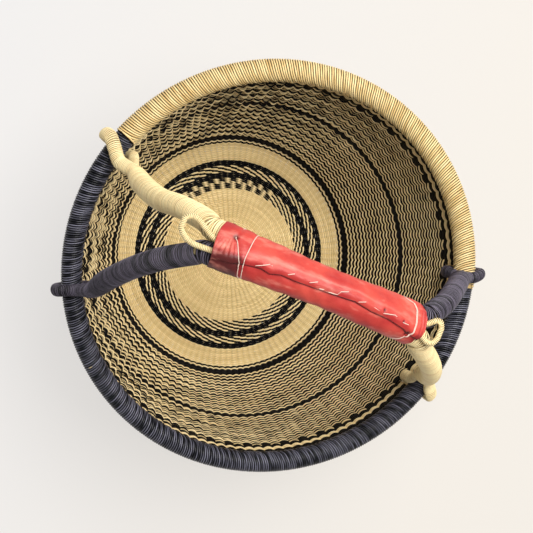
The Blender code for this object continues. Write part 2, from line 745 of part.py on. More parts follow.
def handle_binding(name, arm, colour, parent):
    """The straw wound round one arm, from just outside the leather down over the legs of the eye."""
    length = arm.length()
    outer, inner = [], []
    for share in arm.stations():
        centre, across, upward = arm_frame(arm, share)
        width, height = [half + CLEARANCE for half in arm_section(arm, share)]
        taper = eased((share * length - BINDING_START) / WRAP_TAPER_LENGTH)
        wrap = blend(HANDLE_WRAP_END, HANDLE_WRAP, taper)
        inner.append(oval(centre, across, upward, width, height, HANDLE_SIDES))
        outer.append(oval(centre, across, upward, width + wrap, height + wrap, HANDLE_SIDES))
    _, across, upward = arm_frame(arm, 1)
    legs = (2 * EYE_HALF_DEPTH + CLEARANCE) / math.cos(math.pi / HANDLE_SIDES)
    bore = max(HANDLE_CORE_RADIUS, legs) + CLEARANCE
    step_down = arm.neck - arm.axis * CLEARANCE
    for centre, wrap in ((step_down, HANDLE_WRAP), (arm.fork, NECK_WRAP)):
        inner.append(oval(centre, across, upward, bore, bore, HANDLE_SIDES))
        outer.append(oval(centre, across, upward, bore + wrap, bore + wrap, HANDLE_SIDES))
    if arm.end < 0:
        outer.reverse()
        inner.reverse()
    return piece(name, lofted(outer, inner), colour, 0.6, parent)


def flap_lift(angle):
    """How far the upper layer of leather stands off the lower one, at an angle from the hidden edge."""
    rise_start = math.tau - SEAM_RISE
    return (LEATHER_THICKNESS + CLEARANCE) * eased((angle - rise_start) / SEAM_RISE)


def sleeve_point(share, angle, offset):
    """A point round the grip at an angle from its +Y side over the top, at an offset from the inner face."""
    centre, _, side, upward = grip_station(share)
    room_width, room_height = sleeve_size(share)
    return (
        centre
        + side * ((room_width + offset) * math.cos(angle))
        + upward * ((room_height + offset) * math.sin(angle))
    )


def leather_grip(parent):
    """A sheet of leather rolled round both handles, with its upper edge lying over its lower one."""
    hidden_edge = SEAM_ANGLE - SEAM_OVERLAP
    counts = [math.tau * step / SLEEVE_SIDES for step in range(SLEEVE_SIDES + 1)]
    counts += [math.tau + SEAM_OVERLAP / 2, math.tau + SEAM_OVERLAP]
    rings = []
    for step in range(GRIP_STATIONS + 1):
        share = -1 + 2 * step / GRIP_STATIONS
        inner = [sleeve_point(share, hidden_edge + a, flap_lift(a)) for a in counts]
        outer = [sleeve_point(share, hidden_edge + a, flap_lift(a) + LEATHER_THICKNESS) for a in counts]
        rings.append(inner + outer[::-1])
    return piece("leather_grip", lofted(rings), LEATHER, 0.45, parent)


def outer_offset(angle):
    """Height of the leather's outer face above its inner face, all round, with the step at the flap eased."""
    past_hidden = (angle - SEAM_ANGLE + SEAM_OVERLAP) % math.tau
    if past_hidden < SEAM_OVERLAP:
        lift = flap_lift(math.tau)
    elif past_hidden < SEAM_OVERLAP + SEAM_STEP_DOWN:
        past_flap = (past_hidden - SEAM_OVERLAP) / SEAM_STEP_DOWN
        lift = flap_lift(math.tau) * (1 - eased(2 * past_flap - 1))
    else:
        lift = flap_lift(past_hidden)
    return LEATHER_THICKNESS + lift


def seam_lacing(parent):
    """The thread along the overlap, rising a little in the middle of each stitch."""
    points = []
    steps = STITCH_STEPS * STITCH_COUNT
    angle = SEAM_ANGLE - THREAD_INSET
    for step in range(steps + 1):
        share = blend(SEAM_START_SHARE, SEAM_END_SHARE, step / steps)
        rise = STITCH_RISE * math.sin(math.pi * step / STITCH_STEPS) ** 2
        points.append(sleeve_point(share, angle, outer_offset(angle) + CLEARANCE + THREAD_RADIUS + rise))
    _, _, side, upward = grip_station(0)
    rings = [oval(point, side, upward, THREAD_RADIUS, THREAD_RADIUS, THREAD_SIDES) for point in points]
    return piece("seam_lacing", lofted(rings), THREAD, 0.6, parent)


def tie(name, share, slant, parent):
    """A cord tied round the grip, a little aslant."""
    points = []
    for step in range(TIE_STEPS):
        angle = math.tau * step / TIE_STEPS
        offset = outer_offset(angle) + CLEARANCE + TIE_RADIUS
        slack = offset * TIE_SLACK_SHARE
        points.append(sleeve_point(share + slant * math.cos(angle), angle, offset + slack))
    rings = []
    for index, point in enumerate(points):
        along = (points[(index + 1) % TIE_STEPS] - points[index - 1]).normalized()
        outward = (point - grip_station(share)[0]).normalized()
        across = along.cross(outward).normalized()
        rings.append(oval(point, across, across.cross(along), TIE_RADIUS, TIE_RADIUS, THREAD_SIDES))
    return piece(name, lofted(rings, closed=True), THREAD, 0.6, parent)


def grip_loop(name, end, reach, half_width, parent):
    """A bound cord that leaves the grip's mouth above the handles and comes back beside itself."""
    centre, along, side, upward = grip_station(end)
    outward = (along * (end * reach) + UP * LOOP_RISE).normalized()
    height = mouth_core_half_height() + CLEARANCE + LOOP_CORD_RADIUS
    tail = (1 - LOOP_TAIL_SHARE) * GRIP_LENGTH / 2
    middle = centre + upward * height - side * LOOP_SIDE_OFFSET
    inside = grip_station(LOOP_TAIL_SHARE * end)
    inside_middle = inside[0] + inside[3] * height - inside[2] * LOOP_SIDE_OFFSET
    legs = [middle + side * (LOOP_LEG_HALF_SPAN * sign) for sign in (1, -1)]
    tails = [inside_middle + inside[2] * (LOOP_LEG_HALF_SPAN * sign) for sign in (1, -1)]
    far = reach - LOOP_CORD_RADIUS
    tip = middle + outward * far
    leg_pull = outward * (far * LOOP_LEG_PULL_SHARE)
    tip_pull = outward * (far * LOOP_TIP_PULL_SHARE)
    bend, flat = side * (half_width * LOOP_BEND_SHARE), side * (half_width * LOOP_TIP_SHARE)
    first = bezier(legs[0], legs[0] + leg_pull, tip + bend - tip_pull, tip + flat, LOOP_STEPS)
    last = bezier(tip - flat, tip - bend - tip_pull, legs[1] + leg_pull, legs[1], LOOP_STEPS)
    points = [tails[0]] + first + last + [tails[1]]
    rings = []
    for index, point in enumerate(points):
        before, after = points[max(index - 1, 0)], points[min(index + 1, len(points) - 1)]
        direction = (after - before).normalized()
        across = upward.cross(direction).normalized()
        over = direction.cross(across)
        rings.append(oval(point, across, over, LOOP_CORD_RADIUS, LOOP_CORD_RADIUS, LOOP_SIDES))
    return piece(name, lofted(rings), NATURAL, 0.6, parent)


def build_basket():
    """Everything that stands still: floor, wall and rim."""
    face = inner_face()
    runs = weave_runs(face)
    base_weave(runs)
    pattern_ring_weave(face, runs)
    floor_band_weave(face, runs)
    black_ring_weave(face, runs)
    lower_wall_weave(face, runs)
    middle_ring_weave(face, runs)
    upper_wall_weave(face, runs)
    top_ring_weave(face, runs)
    rim_core()
    natural_rim_binding()
    navy_rim_binding()


def build_handles():
    """Everything that lifts, under an empty in the middle of the rim's plane."""
    lift = bpy.data.objects.new("handle_lift", None)
    lift.location = (0, 0, RIM_PLANE)
    bpy.context.scene.collection.objects.link(lift)
    wide_rim = max(NATURAL_RIM_RADIUS, NAVY_RIM_RADIUS)
    natural_left = Arm(-1, 1, NATURAL_LEFT_ANGLE, wide_rim, NATURAL_LEFT_ROUTE_SHARES)
    natural_right = Arm(1, 1, NATURAL_RIGHT_ANGLE, NAVY_RIM_RADIUS, NATURAL_RIGHT_ROUTE_SHARES)
    navy_left = Arm(-1, -1, NAVY_LEFT_ANGLE, NAVY_RIM_RADIUS, NAVY_LEFT_ROUTE_SHARES)
    navy_right = Arm(1, -1, NAVY_RIGHT_ANGLE, wide_rim, NAVY_RIGHT_ROUTE_SHARES)
    handle_core("natural_handle_core", natural_left, natural_right, 1, lift)
    handle_core("navy_handle_core", navy_left, navy_right, -1, lift)
    handle_binding("left_natural_binding", natural_left, NATURAL, lift)
    handle_binding("right_natural_binding", natural_right, NATURAL, lift)
    handle_binding("left_navy_binding", navy_left, NAVY, lift)
    handle_binding("right_navy_binding", navy_right, NAVY, lift)
    eye("left_natural_eye", NATURAL_LEFT_ANGLE, wide_rim, NATURAL, lift)
    eye("right_natural_eye", NATURAL_RIGHT_ANGLE, NAVY_RIM_RADIUS, NATURAL, lift)
    eye("left_navy_eye", NAVY_LEFT_ANGLE, NAVY_RIM_RADIUS, NAVY, lift)
    eye("right_navy_eye", NAVY_RIGHT_ANGLE, wide_rim, NAVY, lift)
    leather_grip(lift)
    seam_lacing(lift)
    tie("left_outer_tie", LEFT_OUTER_TIE_SHARE, TIE_SLANT_SHARE, lift)
    tie("left_inner_tie", LEFT_INNER_TIE_SHARE, -TIE_SLANT_SHARE, lift)
    tie("right_tie", RIGHT_TIE_SHARE, TIE_SLANT_SHARE, lift)
    grip_loop("left_grip_loop", -1, LEFT_LOOP_REACH, LEFT_LOOP_HALF_WIDTH, lift)
    grip_loop("right_grip_loop", 1, RIGHT_LOOP_REACH, RIGHT_LOOP_HALF_WIDTH, lift)


def main():
    for item in list(bpy.data.objects):
        bpy.data.objects.remove(item, do_unlink=True)
    build_basket()
    build_handles()


main()
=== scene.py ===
"""A twined straw basket with a bound rim, two bound handles and a laced leather grip, dressed over its solids."""

import logging
import math
from dataclasses import dataclass, field
from enum import Enum
from typing import Any, Iterable, Optional, Sequence

import bpy
import numpy as np
from mathutils import Matrix, Vector


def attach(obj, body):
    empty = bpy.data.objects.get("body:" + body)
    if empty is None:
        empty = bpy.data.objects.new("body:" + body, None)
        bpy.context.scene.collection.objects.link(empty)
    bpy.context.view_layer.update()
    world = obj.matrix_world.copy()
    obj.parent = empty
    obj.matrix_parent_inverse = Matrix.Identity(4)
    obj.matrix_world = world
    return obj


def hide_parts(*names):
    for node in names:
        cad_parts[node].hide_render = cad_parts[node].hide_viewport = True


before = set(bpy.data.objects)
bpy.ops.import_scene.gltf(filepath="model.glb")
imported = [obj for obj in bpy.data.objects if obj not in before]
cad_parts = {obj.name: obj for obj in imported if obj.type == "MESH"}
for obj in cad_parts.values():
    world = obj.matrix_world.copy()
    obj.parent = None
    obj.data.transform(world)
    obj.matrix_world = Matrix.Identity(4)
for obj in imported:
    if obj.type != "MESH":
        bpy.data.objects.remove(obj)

log = logging.getLogger("basket")
Array = np.ndarray
BASKET = "basket"
HANDLE = "handle"
STRAW_MAP = "Straw"
BAKE_MAP = "OFBake"
UP = np.array([0.0, 0.0, 1.0])


def blend(start: Any, end: Any, share: Any) -> Any:
    """The value a share of the way from start to end."""
    return start + (end - start) * share


def eased(value: Any) -> Any:
    """0 below 0, 1 above 1, and a smooth step between."""
    value = np.clip(value, 0.0, 1.0)
    return value * value * (3 - 2 * value)


def bump(distance: Any, width: float) -> Any:
    """A smooth bump: 1 at distance 0 and nearly nothing past twice the width."""
    return np.exp(-((distance / width) ** 2))


def unit(vectors: Array) -> Array:
    """The vectors at length one."""
    return vectors / np.maximum(np.linalg.norm(vectors, axis=-1, keepdims=True), 1e-12)


def bezier(start: Array, first: Array, second: Array, end: Array, count: int) -> list[Array]:
    """Points of a cubic curve.

    Args:
        start: Where it starts.
        first: The point that it sets out for.
        second: The point that it comes in from.
        end: Where it ends.
        count: The number of points.

    Returns:
        The points.
    """
    return [
        start * (1 - t) ** 3 + first * 3 * t * (1 - t) ** 2 + second * 3 * t * t * (1 - t) + end * t**3
        for t in np.linspace(0, 1, count)
    ]


# ---------------------------------------------------------------------------
# Materials


class Shade:
    """A number or colour in a material's nodes, with Python's operators for its maths."""

    def __init__(self, paint: "Paint", socket: bpy.types.NodeSocket) -> None:
        """Keeps the socket and the material that it belongs to."""
        self.paint = paint
        self.socket = socket

    def math(self, operation: str, *others: Any) -> "Shade":
        """One Math node on this number.

        Args:
            operation: Blender's name for the operation.
            others: The further numbers or shades that it takes.

        Returns:
            The node's result.
        """
        inputs = {index: value for index, value in enumerate((self, *others))}
        return self.paint.node("ShaderNodeMath", {"operation": operation}, inputs)

    def __add__(self, other: Any) -> "Shade":
        """The sum."""
        return self.math("ADD", other)

    __radd__ = __add__

    def __mul__(self, other: Any) -> "Shade":
        """The product."""
        return self.math("MULTIPLY", other)

    __rmul__ = __mul__

    def __sub__(self, other: Any) -> "Shade":
        """The difference."""
        return self.math("SUBTRACT", other)

    def __rsub__(self, other: Any) -> "Shade":
        """The difference with this number taken away."""
        return self.paint.number(other).math("SUBTRACT", self)

    def held(self) -> "Shade":
        """The number kept between 0 and 1."""
        return self.math("MAXIMUM", 0.0).math("MINIMUM", 1.0)


class Paint:
    """The nodes of one material, from its coordinates to its shader."""

    def __init__(self, name: str) -> None:
        """Starts a material with a bare Principled shader."""
        self.material = bpy.data.materials.new(name)
        self.material.use_nodes = True
        self.tree = self.material.node_tree
        self.shader = self.tree.nodes["Principled BSDF"]

    def node(self, kind: str, settings: dict[str, Any], inputs: dict[Any, Any], output: Any = 0) -> Shade:
        """Adds any node.

        Args:
            kind: The node's type.
            settings: Its properties, set before its sockets.
            inputs: Values or shades by socket name or number.
            output: The name or number of the socket that is returned.

        Returns:
            The chosen output.
        """
        made = self.tree.nodes.new(kind)
        for key, value in settings.items():
            setattr(made, key, value)
        for key, value in inputs.items():
            if isinstance(value, Shade):
                self.tree.links.new(value.socket, made.inputs[key])
            else:
                made.inputs[key].default_value = value
        return Shade(self, made.outputs[output])

    def number(self, value: Any) -> Shade:
        """A plain number as a shade."""
        made = self.tree.nodes.new("ShaderNodeValue")
        made.outputs[0].default_value = value
        return Shade(self, made.outputs[0])

    def straw_place(self, scale: tuple[float, float, float]) -> Shade:
        """The place along and round a straw, scaled."""
        place = self.node("ShaderNodeUVMap", {"uv_map": STRAW_MAP}, {})
        return self.node("ShaderNodeMapping", {}, {"Vector": place, "Scale": scale})

    def straw_side(self) -> Shade:
        """How far round a straw a point lies: one half on its crest, and 0 and 1 on the far side's crest."""
        place = self.node("ShaderNodeUVMap", {"uv_map": STRAW_MAP}, {})
        return self.node("ShaderNodeSeparateXYZ", {}, {"Vector": place}, "Y")

    def scaled(self, colour: Shade, amount: float) -> Shade:
        """The colour times a number."""
        return self.node("ShaderNodeVectorMath", {"operation": "SCALE"}, {"Vector": colour, "Scale": amount}, "Vector")

    def object_place(self, scale: tuple[float, float, float] = (1, 1, 1)) -> Shade:
        """The place in the object's own space, scaled."""
        place = self.node("ShaderNodeTexCoord", {}, {}, "Object")
        return self.node("ShaderNodeMapping", {}, {"Vector": place, "Scale": scale})

    def attribute(self, name: str) -> Shade:
        """A number stored on the mesh."""
        return self.node("ShaderNodeAttribute", {"attribute_name": name}, {}, "Fac")

    def noise(self, place: Shade, scale: float, detail: float = 2.0, roughness: float = 0.55) -> Shade:
        """Smooth noise from 0 to 1."""
        inputs = {"Vector": place, "Scale": scale, "Detail": detail, "Roughness": roughness}
        return self.node("ShaderNodeTexNoise", {}, inputs, "Fac")

    def mix(self, share: Any, first: Any, second: Any) -> Shade:
        """The colour a share of the way from first to second."""
        inputs = {0: share, 6: self.colour(first), 7: self.colour(second)}
        return self.node("ShaderNodeMix", {"data_type": "RGBA"}, inputs, 2)

    @staticmethod
    def colour(value: Any) -> Any:
        """A colour with its alpha, or the shade as it is."""
        return value if isinstance(value, Shade) else (*value, 1.0)

    def dress(self, base: Any, roughness: Any, height: Optional[Shade] = None, depth: float = 0.0) -> None:
        """Feeds the shader.

        Args:
            base: The colour.
            roughness: The roughness, as a shade or a number.
            height: The relief for the Bump node, if there is one.
            depth: How deep the relief is, in metres.
        """
        for name, value in (("Base Color", base), ("Roughness", roughness)):
            if isinstance(value, Shade):
                self.tree.links.new(value.socket, self.shader.inputs[name])
            else:
                self.shader.inputs[name].default_value = self.colour(value) if name == "Base Color" else value
        if height is not None:
            bump = self.node("ShaderNodeBump", {}, {"Strength": 1.0, "Distance": depth, "Height": height})
            self.tree.links.new(bump.socket, self.shader.inputs["Normal"])


@dataclass(frozen=True)
class StrawFinish:
    """Split and dyed straw: fibres along it, straws of differing shade and a soft shine."""

    name: str
    light: tuple[float, float, float]
    dark: tuple[float, float, float]
    dyed_light: tuple[float, float, float] = (0.030, 0.030, 0.036)
    dyed_dark: tuple[float, float, float] = (0.006, 0.006, 0.008)
    roughness: float = 0.5
    dyed_roughness: float = 0.45
    fibre: float = 0.9
    spread: float = 0.8
    patches: float = 0.6
    patch_scale: float = 22.0
    # Painted shade in the grooves: where it starts from the crest, how fast it deepens and how dark it gets.
    groove_from: float = 0.08
    groove_slope: float = 7.0
    groove_dark: float = 0.25
    specular: float = 0.5

    FIBRE_SCALE = (170.0, 7.0, 1.0)
    STRAND_SCALE = (45.0, 14.0, 1.0)
    FIBRE_DEPTH = 0.00016

    def make(self) -> bpy.types.Material:
        """Builds the material, with the black dye where the mesh says so and painted shade in the grooves."""
        paint = Paint(self.name)
        fibres = paint.noise(paint.straw_place(self.FIBRE_SCALE), 1.0, 3.0, 0.6)
        strands = paint.noise(paint.straw_place(self.STRAND_SCALE), 1.0, 1.0)
        patch = paint.noise(paint.object_place(), self.patch_scale, 2.0)
        tone = paint.attribute("tone")
        share = (fibres - 0.5) * self.fibre + (strands - 0.5) * 0.5
        share = share + (tone - 0.5) * self.spread + (patch - 0.5) * self.patches + 0.5
        share = share.held()
        natural = paint.mix(share, self.dark, self.light)
        dyed = paint.mix(share, self.dyed_dark, self.dyed_light)
        dark = paint.attribute("dark")
        base = paint.mix(dark, natural, dyed)
        # A quarter of the way round from either crest lies an edge of the straw, and there the colour is darkened as
        # painted shade in the groove between straws.
        edge = (paint.straw_side() - 0.5).math("ABSOLUTE") - 0.25
        crest = edge.math("ABSOLUTE") * -1.0 + 0.25
        # sunk runs from 0 near a crest to 1 towards an edge: the share of painted shade.
        sunk = ((crest - self.groove_from) * self.groove_slope).held()
        base = paint.mix(sunk, base, paint.scaled(base, self.groove_dark))
        rough = self.roughness + (fibres - 0.5) * 0.25 + dark * (self.dyed_roughness - self.roughness)
        paint.dress(base, rough, fibres, self.FIBRE_DEPTH)
        paint.shader.inputs["Specular IOR Level"].default_value = self.specular
        return paint.material


@dataclass(frozen=True)
class LeatherFinish:
    """Thin goatskin, dyed red and rubbed: fine grain, creases and paler worn patches, with painted shade and painted
    highlights where the mesh says so.
    """

    name: str
    light: tuple[float, float, float] = (0.66, 0.088, 0.060)
    dark: tuple[float, float, float] = (0.39, 0.022, 0.022)
    # The pale of the worn patches, which the painted highlights use as well.
    worn: tuple[float, float, float] = (0.78, 0.29, 0.22)
    # Near black, for the painted shade in the seam's gap and the holes.
    dirt: tuple[float, float, float] = (0.10, 0.012, 0.012)
    roughness: float = 0.42
    specular: float = 0.4
    cloud_scale: float = 38.0
    rub_scale: float = 70.0
    crease_scale: float = 160.0
    grain_scale: float = 900.0
    grain_depth: float = 0.00035

    def make(self) -> bpy.types.Material:
        """Builds the material on object coordinates."""
        paint = Paint(self.name)
        place = paint.object_place()
        clouds = paint.noise(place, self.cloud_scale, 4.0, 0.6)
        rubbed = paint.noise(paint.object_place((0.6, 1.6, 1.0)), self.rub_scale, 3.0, 0.6)
        cells = {"Vector": place, "Scale": self.grain_scale}
        grain = paint.node("ShaderNodeTexVoronoi", {"feature": "DISTANCE_TO_EDGE"}, cells, "Distance")
        creases = paint.noise(paint.object_place((0.5, 1.0, 1.0)), self.crease_scale, 4.0, 0.7)
        # The mesh's deep darkens the red: painted shade on the lower face, in the seam's gap and the holes, and darker
        # bands at the lip and the ends.
        dye = ((clouds - 0.5) * 2.0 + 0.6 - paint.attribute("deep") * 1.1).held()
        base = paint.mix(dye, self.dark, self.light)
        # Past one half of deep the colour goes towards near black: painted shade in the seam's gap and the holes, and
        # where the ends' darkening meets the painted shade of the lower face.
        dirt = (paint.attribute("deep") * 2.0 - 1.0).held()
        base = paint.mix(dirt, base, self.dirt)
        # Worn patches from noise, with the mesh's painted highlights along the lip and on the puckers.
        wear = ((rubbed - 0.54) * 7.0).held() * 0.38 + paint.attribute("rub") * 0.75
        base = paint.mix(wear.held(), base, self.worn)
        height = grain.math("MINIMUM", 0.25) * 0.7 + creases * 0.9
        rough = self.roughness + (creases - 0.5) * 0.3 + wear * 0.1
        paint.dress(base, rough, height, self.grain_depth)
        paint.shader.inputs["Specular IOR Level"].default_value = self.specular
        return paint.material


@dataclass(frozen=True)
class ThreadFinish:
    """Twisted cotton thread: a fine slanted ply."""

    name: str
    light: tuple[float, float, float] = (0.86, 0.70, 0.60)
    dark: tuple[float, float, float] = (0.62, 0.38, 0.32)
    roughness: float = 0.75
    ply_scale: float = 900.0
    ply_depth: float = 0.0001
    dirt_scale: float = 160.0

    def make(self) -> bpy.types.Material:
        """Builds the material on the thread's own map."""
        paint = Paint(self.name)
        ply = paint.node(
            "ShaderNodeTexWave",
            {"wave_type": "BANDS", "bands_direction": "DIAGONAL"},
            {"Vector": paint.straw_place((self.ply_scale, 1.0, 1.0)), "Scale": 1.0, "Distortion": 1.0},
            "Fac",
        )
        dirt = paint.noise(paint.object_place(), self.dirt_scale, 2.0)
        base = paint.mix((ply * 0.6 + dirt * 0.6 - 0.1).held(), self.dark, self.light)
        paint.dress(base, self.roughness, ply, self.ply_depth)
        return paint.material


@dataclass(frozen=True)
class GrassFinish:
    """The dry grass packed inside the rim and the handles."""

    name: str
    light: tuple[float, float, float] = (0.62, 0.50, 0.27)
    dark: tuple[float, float, float] = (0.30, 0.22, 0.10)
    roughness: float = 0.8
    blade_scale: float = 260.0
    blade_depth: float = 0.0004

    def make(self) -> bpy.types.Material:
        """Builds the material on object coordinates."""
        paint = Paint(self.name)
        blades = paint.noise(paint.object_place((1.0, 1.0, 3.0)), self.blade_scale, 4.0, 0.7)
        base = paint.mix(((blades - 0.5) * 2.0 + 0.5).held(), self.dark, self.light)
        paint.dress(base, self.roughness, blades, self.blade_depth)
        return paint.material


class Slot(Enum):
    """The record's material slots."""

    NATURAL = "natural_straw"
    BLACK = "black_straw"
    STRIPED = "striped_straw"
    NAVY = "navy_straw"
    GRASS = "grass_core"
    LEATHER = "leather"
    THREAD = "thread"


class Finishes:
    """Every material of the basket, made once."""

    def __init__(self) -> None:
        """Makes the materials."""
        finishes = {
            "woven": StrawFinish(
                "woven_straw", (1.0, 0.81, 0.46), (0.76, 0.58, 0.29), (0.011, 0.010, 0.011), (0.002, 0.002, 0.002),
                roughness=0.62, dyed_roughness=0.6, patches=0.7, groove_from=0.15, groove_dark=0.16, specular=0.08,
            ),
            "floor": StrawFinish(
                "floor_straw", (1.0, 0.81, 0.44), (0.70, 0.52, 0.24),
                roughness=0.62, fibre=1.4, groove_from=0.17, groove_dark=0.14, specular=0.08,
            ),
            "rim": StrawFinish(
                "rim_straw", (1.0, 0.80, 0.42), (0.70, 0.48, 0.19), fibre=0.5, groove_dark=0.2, spread=1.1,
            ),
            "arm": StrawFinish(
                "handle_straw", (1.0, 0.84, 0.47), (0.88, 0.67, 0.34),
                fibre=0.7, patches=0.4, groove_from=0.06, groove_dark=0.42, spread=1.1,
            ),
            "navy": StrawFinish(
                "navy_straw_dye", (0.80, 0.64, 0.36), (0.5, 0.35, 0.18), (0.190, 0.190, 0.250), (0.005, 0.006, 0.010),
                dyed_roughness=0.38, patches=0.25, fibre=0.8, groove_from=0.03, groove_dark=0.04, spread=1.6,
                specular=0.4,
            ),
            "plum": StrawFinish(
                "handle_dye", (0.80, 0.64, 0.36), (0.5, 0.35, 0.18), (0.190, 0.165, 0.230), (0.008, 0.008, 0.012),
                dyed_roughness=0.42, patches=0.3, fibre=1.7, groove_from=0.03, groove_dark=0.05, spread=1.0,
                specular=0.3,
            ),
            "leather": LeatherFinish("red_goatskin"),
            "thread": ThreadFinish("waxed_thread"),
            "grass": GrassFinish("packed_grass"),
        }
        self.materials = {name: finish.make() for name, finish in finishes.items()}

    def __getitem__(self, name: str) -> bpy.types.Material:
        """The material of that name."""
        return self.materials[name]


# ---------------------------------------------------------------------------
# Straws


@dataclass
class Straws:
    """The straws of one piece, gathered as tubes and then made one mesh."""

    name: str
    sides: int = 5
    points: list[Array] = field(default_factory=list)
    darks: list[Array] = field(default_factory=list)
    tones: list[Array] = field(default_factory=list)
    quads: list[Array] = field(default_factory=list)
    straw_maps: list[Array] = field(default_factory=list)
    caps: list[list[int]] = field(default_factory=list)
    count: int = 0

    ROW_MARGIN = 0.06
    COLUMN_MARGIN = 0.01
    COLUMNS_PER_ROW = 3.0

    def add(
        self,
        centre: Array,
        across: Array,
        outward: Array,
        half_width: Any,
        half_depth: Any,
        dark: Any = 0.0,
        tone: Any = 0.5,
        closed: bool = False,
    ) -> None:
        """Adds one straw.

        Args:
            centre: Its middle line, one point a row.
            across: The direction of its width at each point.
            outward: The direction of its thickness at each point.
            half_width: Half its width, one number or one a point.
            half_depth: Half its thickness, likewise.
            dark: How dyed it is, from 0 to 1.
            tone: How light it is among its kind.
            closed: Whether its end runs into its start.
        """
        steps = len(centre)
        turns = math.tau * np.arange(self.sides) / self.sides - math.pi / 2
        width = np.broadcast_to(np.asarray(half_width, float), steps)[:, None, None]
        depth = np.broadcast_to(np.asarray(half_depth, float), steps)[:, None, None]
        ring = centre[:, None, :] + across[:, None, :] * width * np.cos(turns)[None, :, None]
        ring = ring + outward[:, None, :] * depth * np.sin(turns)[None, :, None]
        self.points.append(ring.reshape(-1, 3))
        self.darks.append(np.repeat(np.broadcast_to(np.asarray(dark, float), steps), self.sides))
        self.tones.append(np.repeat(np.broadcast_to(np.asarray(tone, float), steps), self.sides))
        run = np.arange(steps if closed else steps - 1)
        after = (run + 1) % steps
        side = np.arange(self.sides)
        beside = (side + 1) % self.sides
        first = self.count + run[:, None] * self.sides
        second = self.count + after[:, None] * self.sides
        quads = np.stack([first + side, first + beside, second + beside, second + side], axis=-1)
        self.quads.append(quads.reshape(-1, 4))
        path = np.vstack([centre, centre[:1]]) if closed else centre
        lengths = np.concatenate([[0.0], np.cumsum(np.linalg.norm(np.diff(path, axis=0), axis=1))])
        start, end = lengths[run][:, None], lengths[run + 1][:, None]
        low, high = (side / self.sides)[None, :], ((side + 1) / self.sides)[None, :]
        u = np.stack(np.broadcast_arrays(start, start, end, end), axis=-1)
        v = np.stack(np.broadcast_arrays(low, high, high, low), axis=-1)
        u = np.broadcast_to(u, (len(run), self.sides, 4))
        v = np.broadcast_to(v, (len(run), self.sides, 4))
        self.straw_maps.append(np.stack([u, v], axis=-1).reshape(-1, 2))
        if not closed:
            self.caps.append([self.count + s for s in range(self.sides)][::-1])
            self.caps.append([self.count + (steps - 1) * self.sides + s for s in range(self.sides)])
        self.count += steps * self.sides

    def bake_map(self) -> tuple[Array, int]:
        """A map that lays the straws in rows over the whole square, and its rows."""
        steps = sum(len(quads) for quads in self.quads) // self.sides
        columns = max(1, math.ceil(math.sqrt(steps * self.COLUMNS_PER_ROW)))
        rows = math.ceil(steps / columns) + 1
        step = np.repeat(np.arange(steps), self.sides)
        side = np.tile(np.arange(self.sides), steps)
        column, row = step % columns, step // columns
        height = 1 - 2 * self.ROW_MARGIN
        low = (row + self.ROW_MARGIN + height * side / self.sides) / rows
        high = (row + self.ROW_MARGIN + height * (side + 1) / self.sides) / rows
        left, right = (column + self.COLUMN_MARGIN) / columns, (column + 1 - self.COLUMN_MARGIN) / columns
        u = np.stack([left, left, right, right], axis=-1)
        v = np.stack([low, high, high, low], axis=-1)
        return np.stack([u, v], axis=-1).reshape(-1, 2), rows

    @staticmethod
    def cap_corners(sides: int, rows: int) -> Array:
        """Map corners of a straw's end, in the spare row at the top of the map."""
        turns = math.tau * np.arange(sides) / sides
        return np.column_stack([0.5 + 0.004 * np.cos(turns), (rows - 0.5 + 0.3 * np.sin(turns)) / rows])

    def build(
        self, material: bpy.types.Material, body: str, slot: Slot, replaces: Sequence[str] = ()
    ) -> bpy.types.Object:
        """Makes the piece.

        Args:
            material: Its finish.
            body: The CAD body that it rides on.
            slot: The record's slot of its finish; not used.
            replaces: The CAD nodes that it stands for.

        Returns:
            The new object.
        """
        mesh = bpy.data.meshes.new(self.name)
        faces = np.concatenate(self.quads).tolist() + self.caps
        mesh.from_pydata(np.concatenate(self.points), [], faces)
        baked, rows = self.bake_map()
        own = np.concatenate(self.straw_maps)
        spare = [self.cap_corners(len(cap), rows) for cap in self.caps]
        for layer, values in ((STRAW_MAP, own), (BAKE_MAP, baked)):
            mesh.uv_layers.new(name=layer).data.foreach_set("uv", np.vstack([values, *spare]).ravel())
        for name, values in (("dark", self.darks), ("tone", self.tones)):
            mesh.attributes.new(name, "FLOAT", "POINT").data.foreach_set("value", np.concatenate(values))
        mesh.shade_smooth()
        mesh.materials.append(material)
        made = bpy.data.objects.new(self.name, mesh)
        bpy.context.scene.collection.objects.link(made)
        mesh.validate()
        return place(made, body, slot, replaces)


def place(made: bpy.types.Object, body: str, slot: Slot, replaces: Sequence[str] = ()) -> bpy.types.Object:
    """Parents a finished piece to its body's empty, hides the CAD nodes that it stands for and logs its size."""
    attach(made, body)
    if replaces:
        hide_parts(*replaces)
    triangles = sum(len(face.vertices) - 2 for face in made.data.polygons)
    log.info("%s: %d triangles, on %s", made.name, triangles, body)
    return made


# ---------------------------------------------------------------------------
# Basket


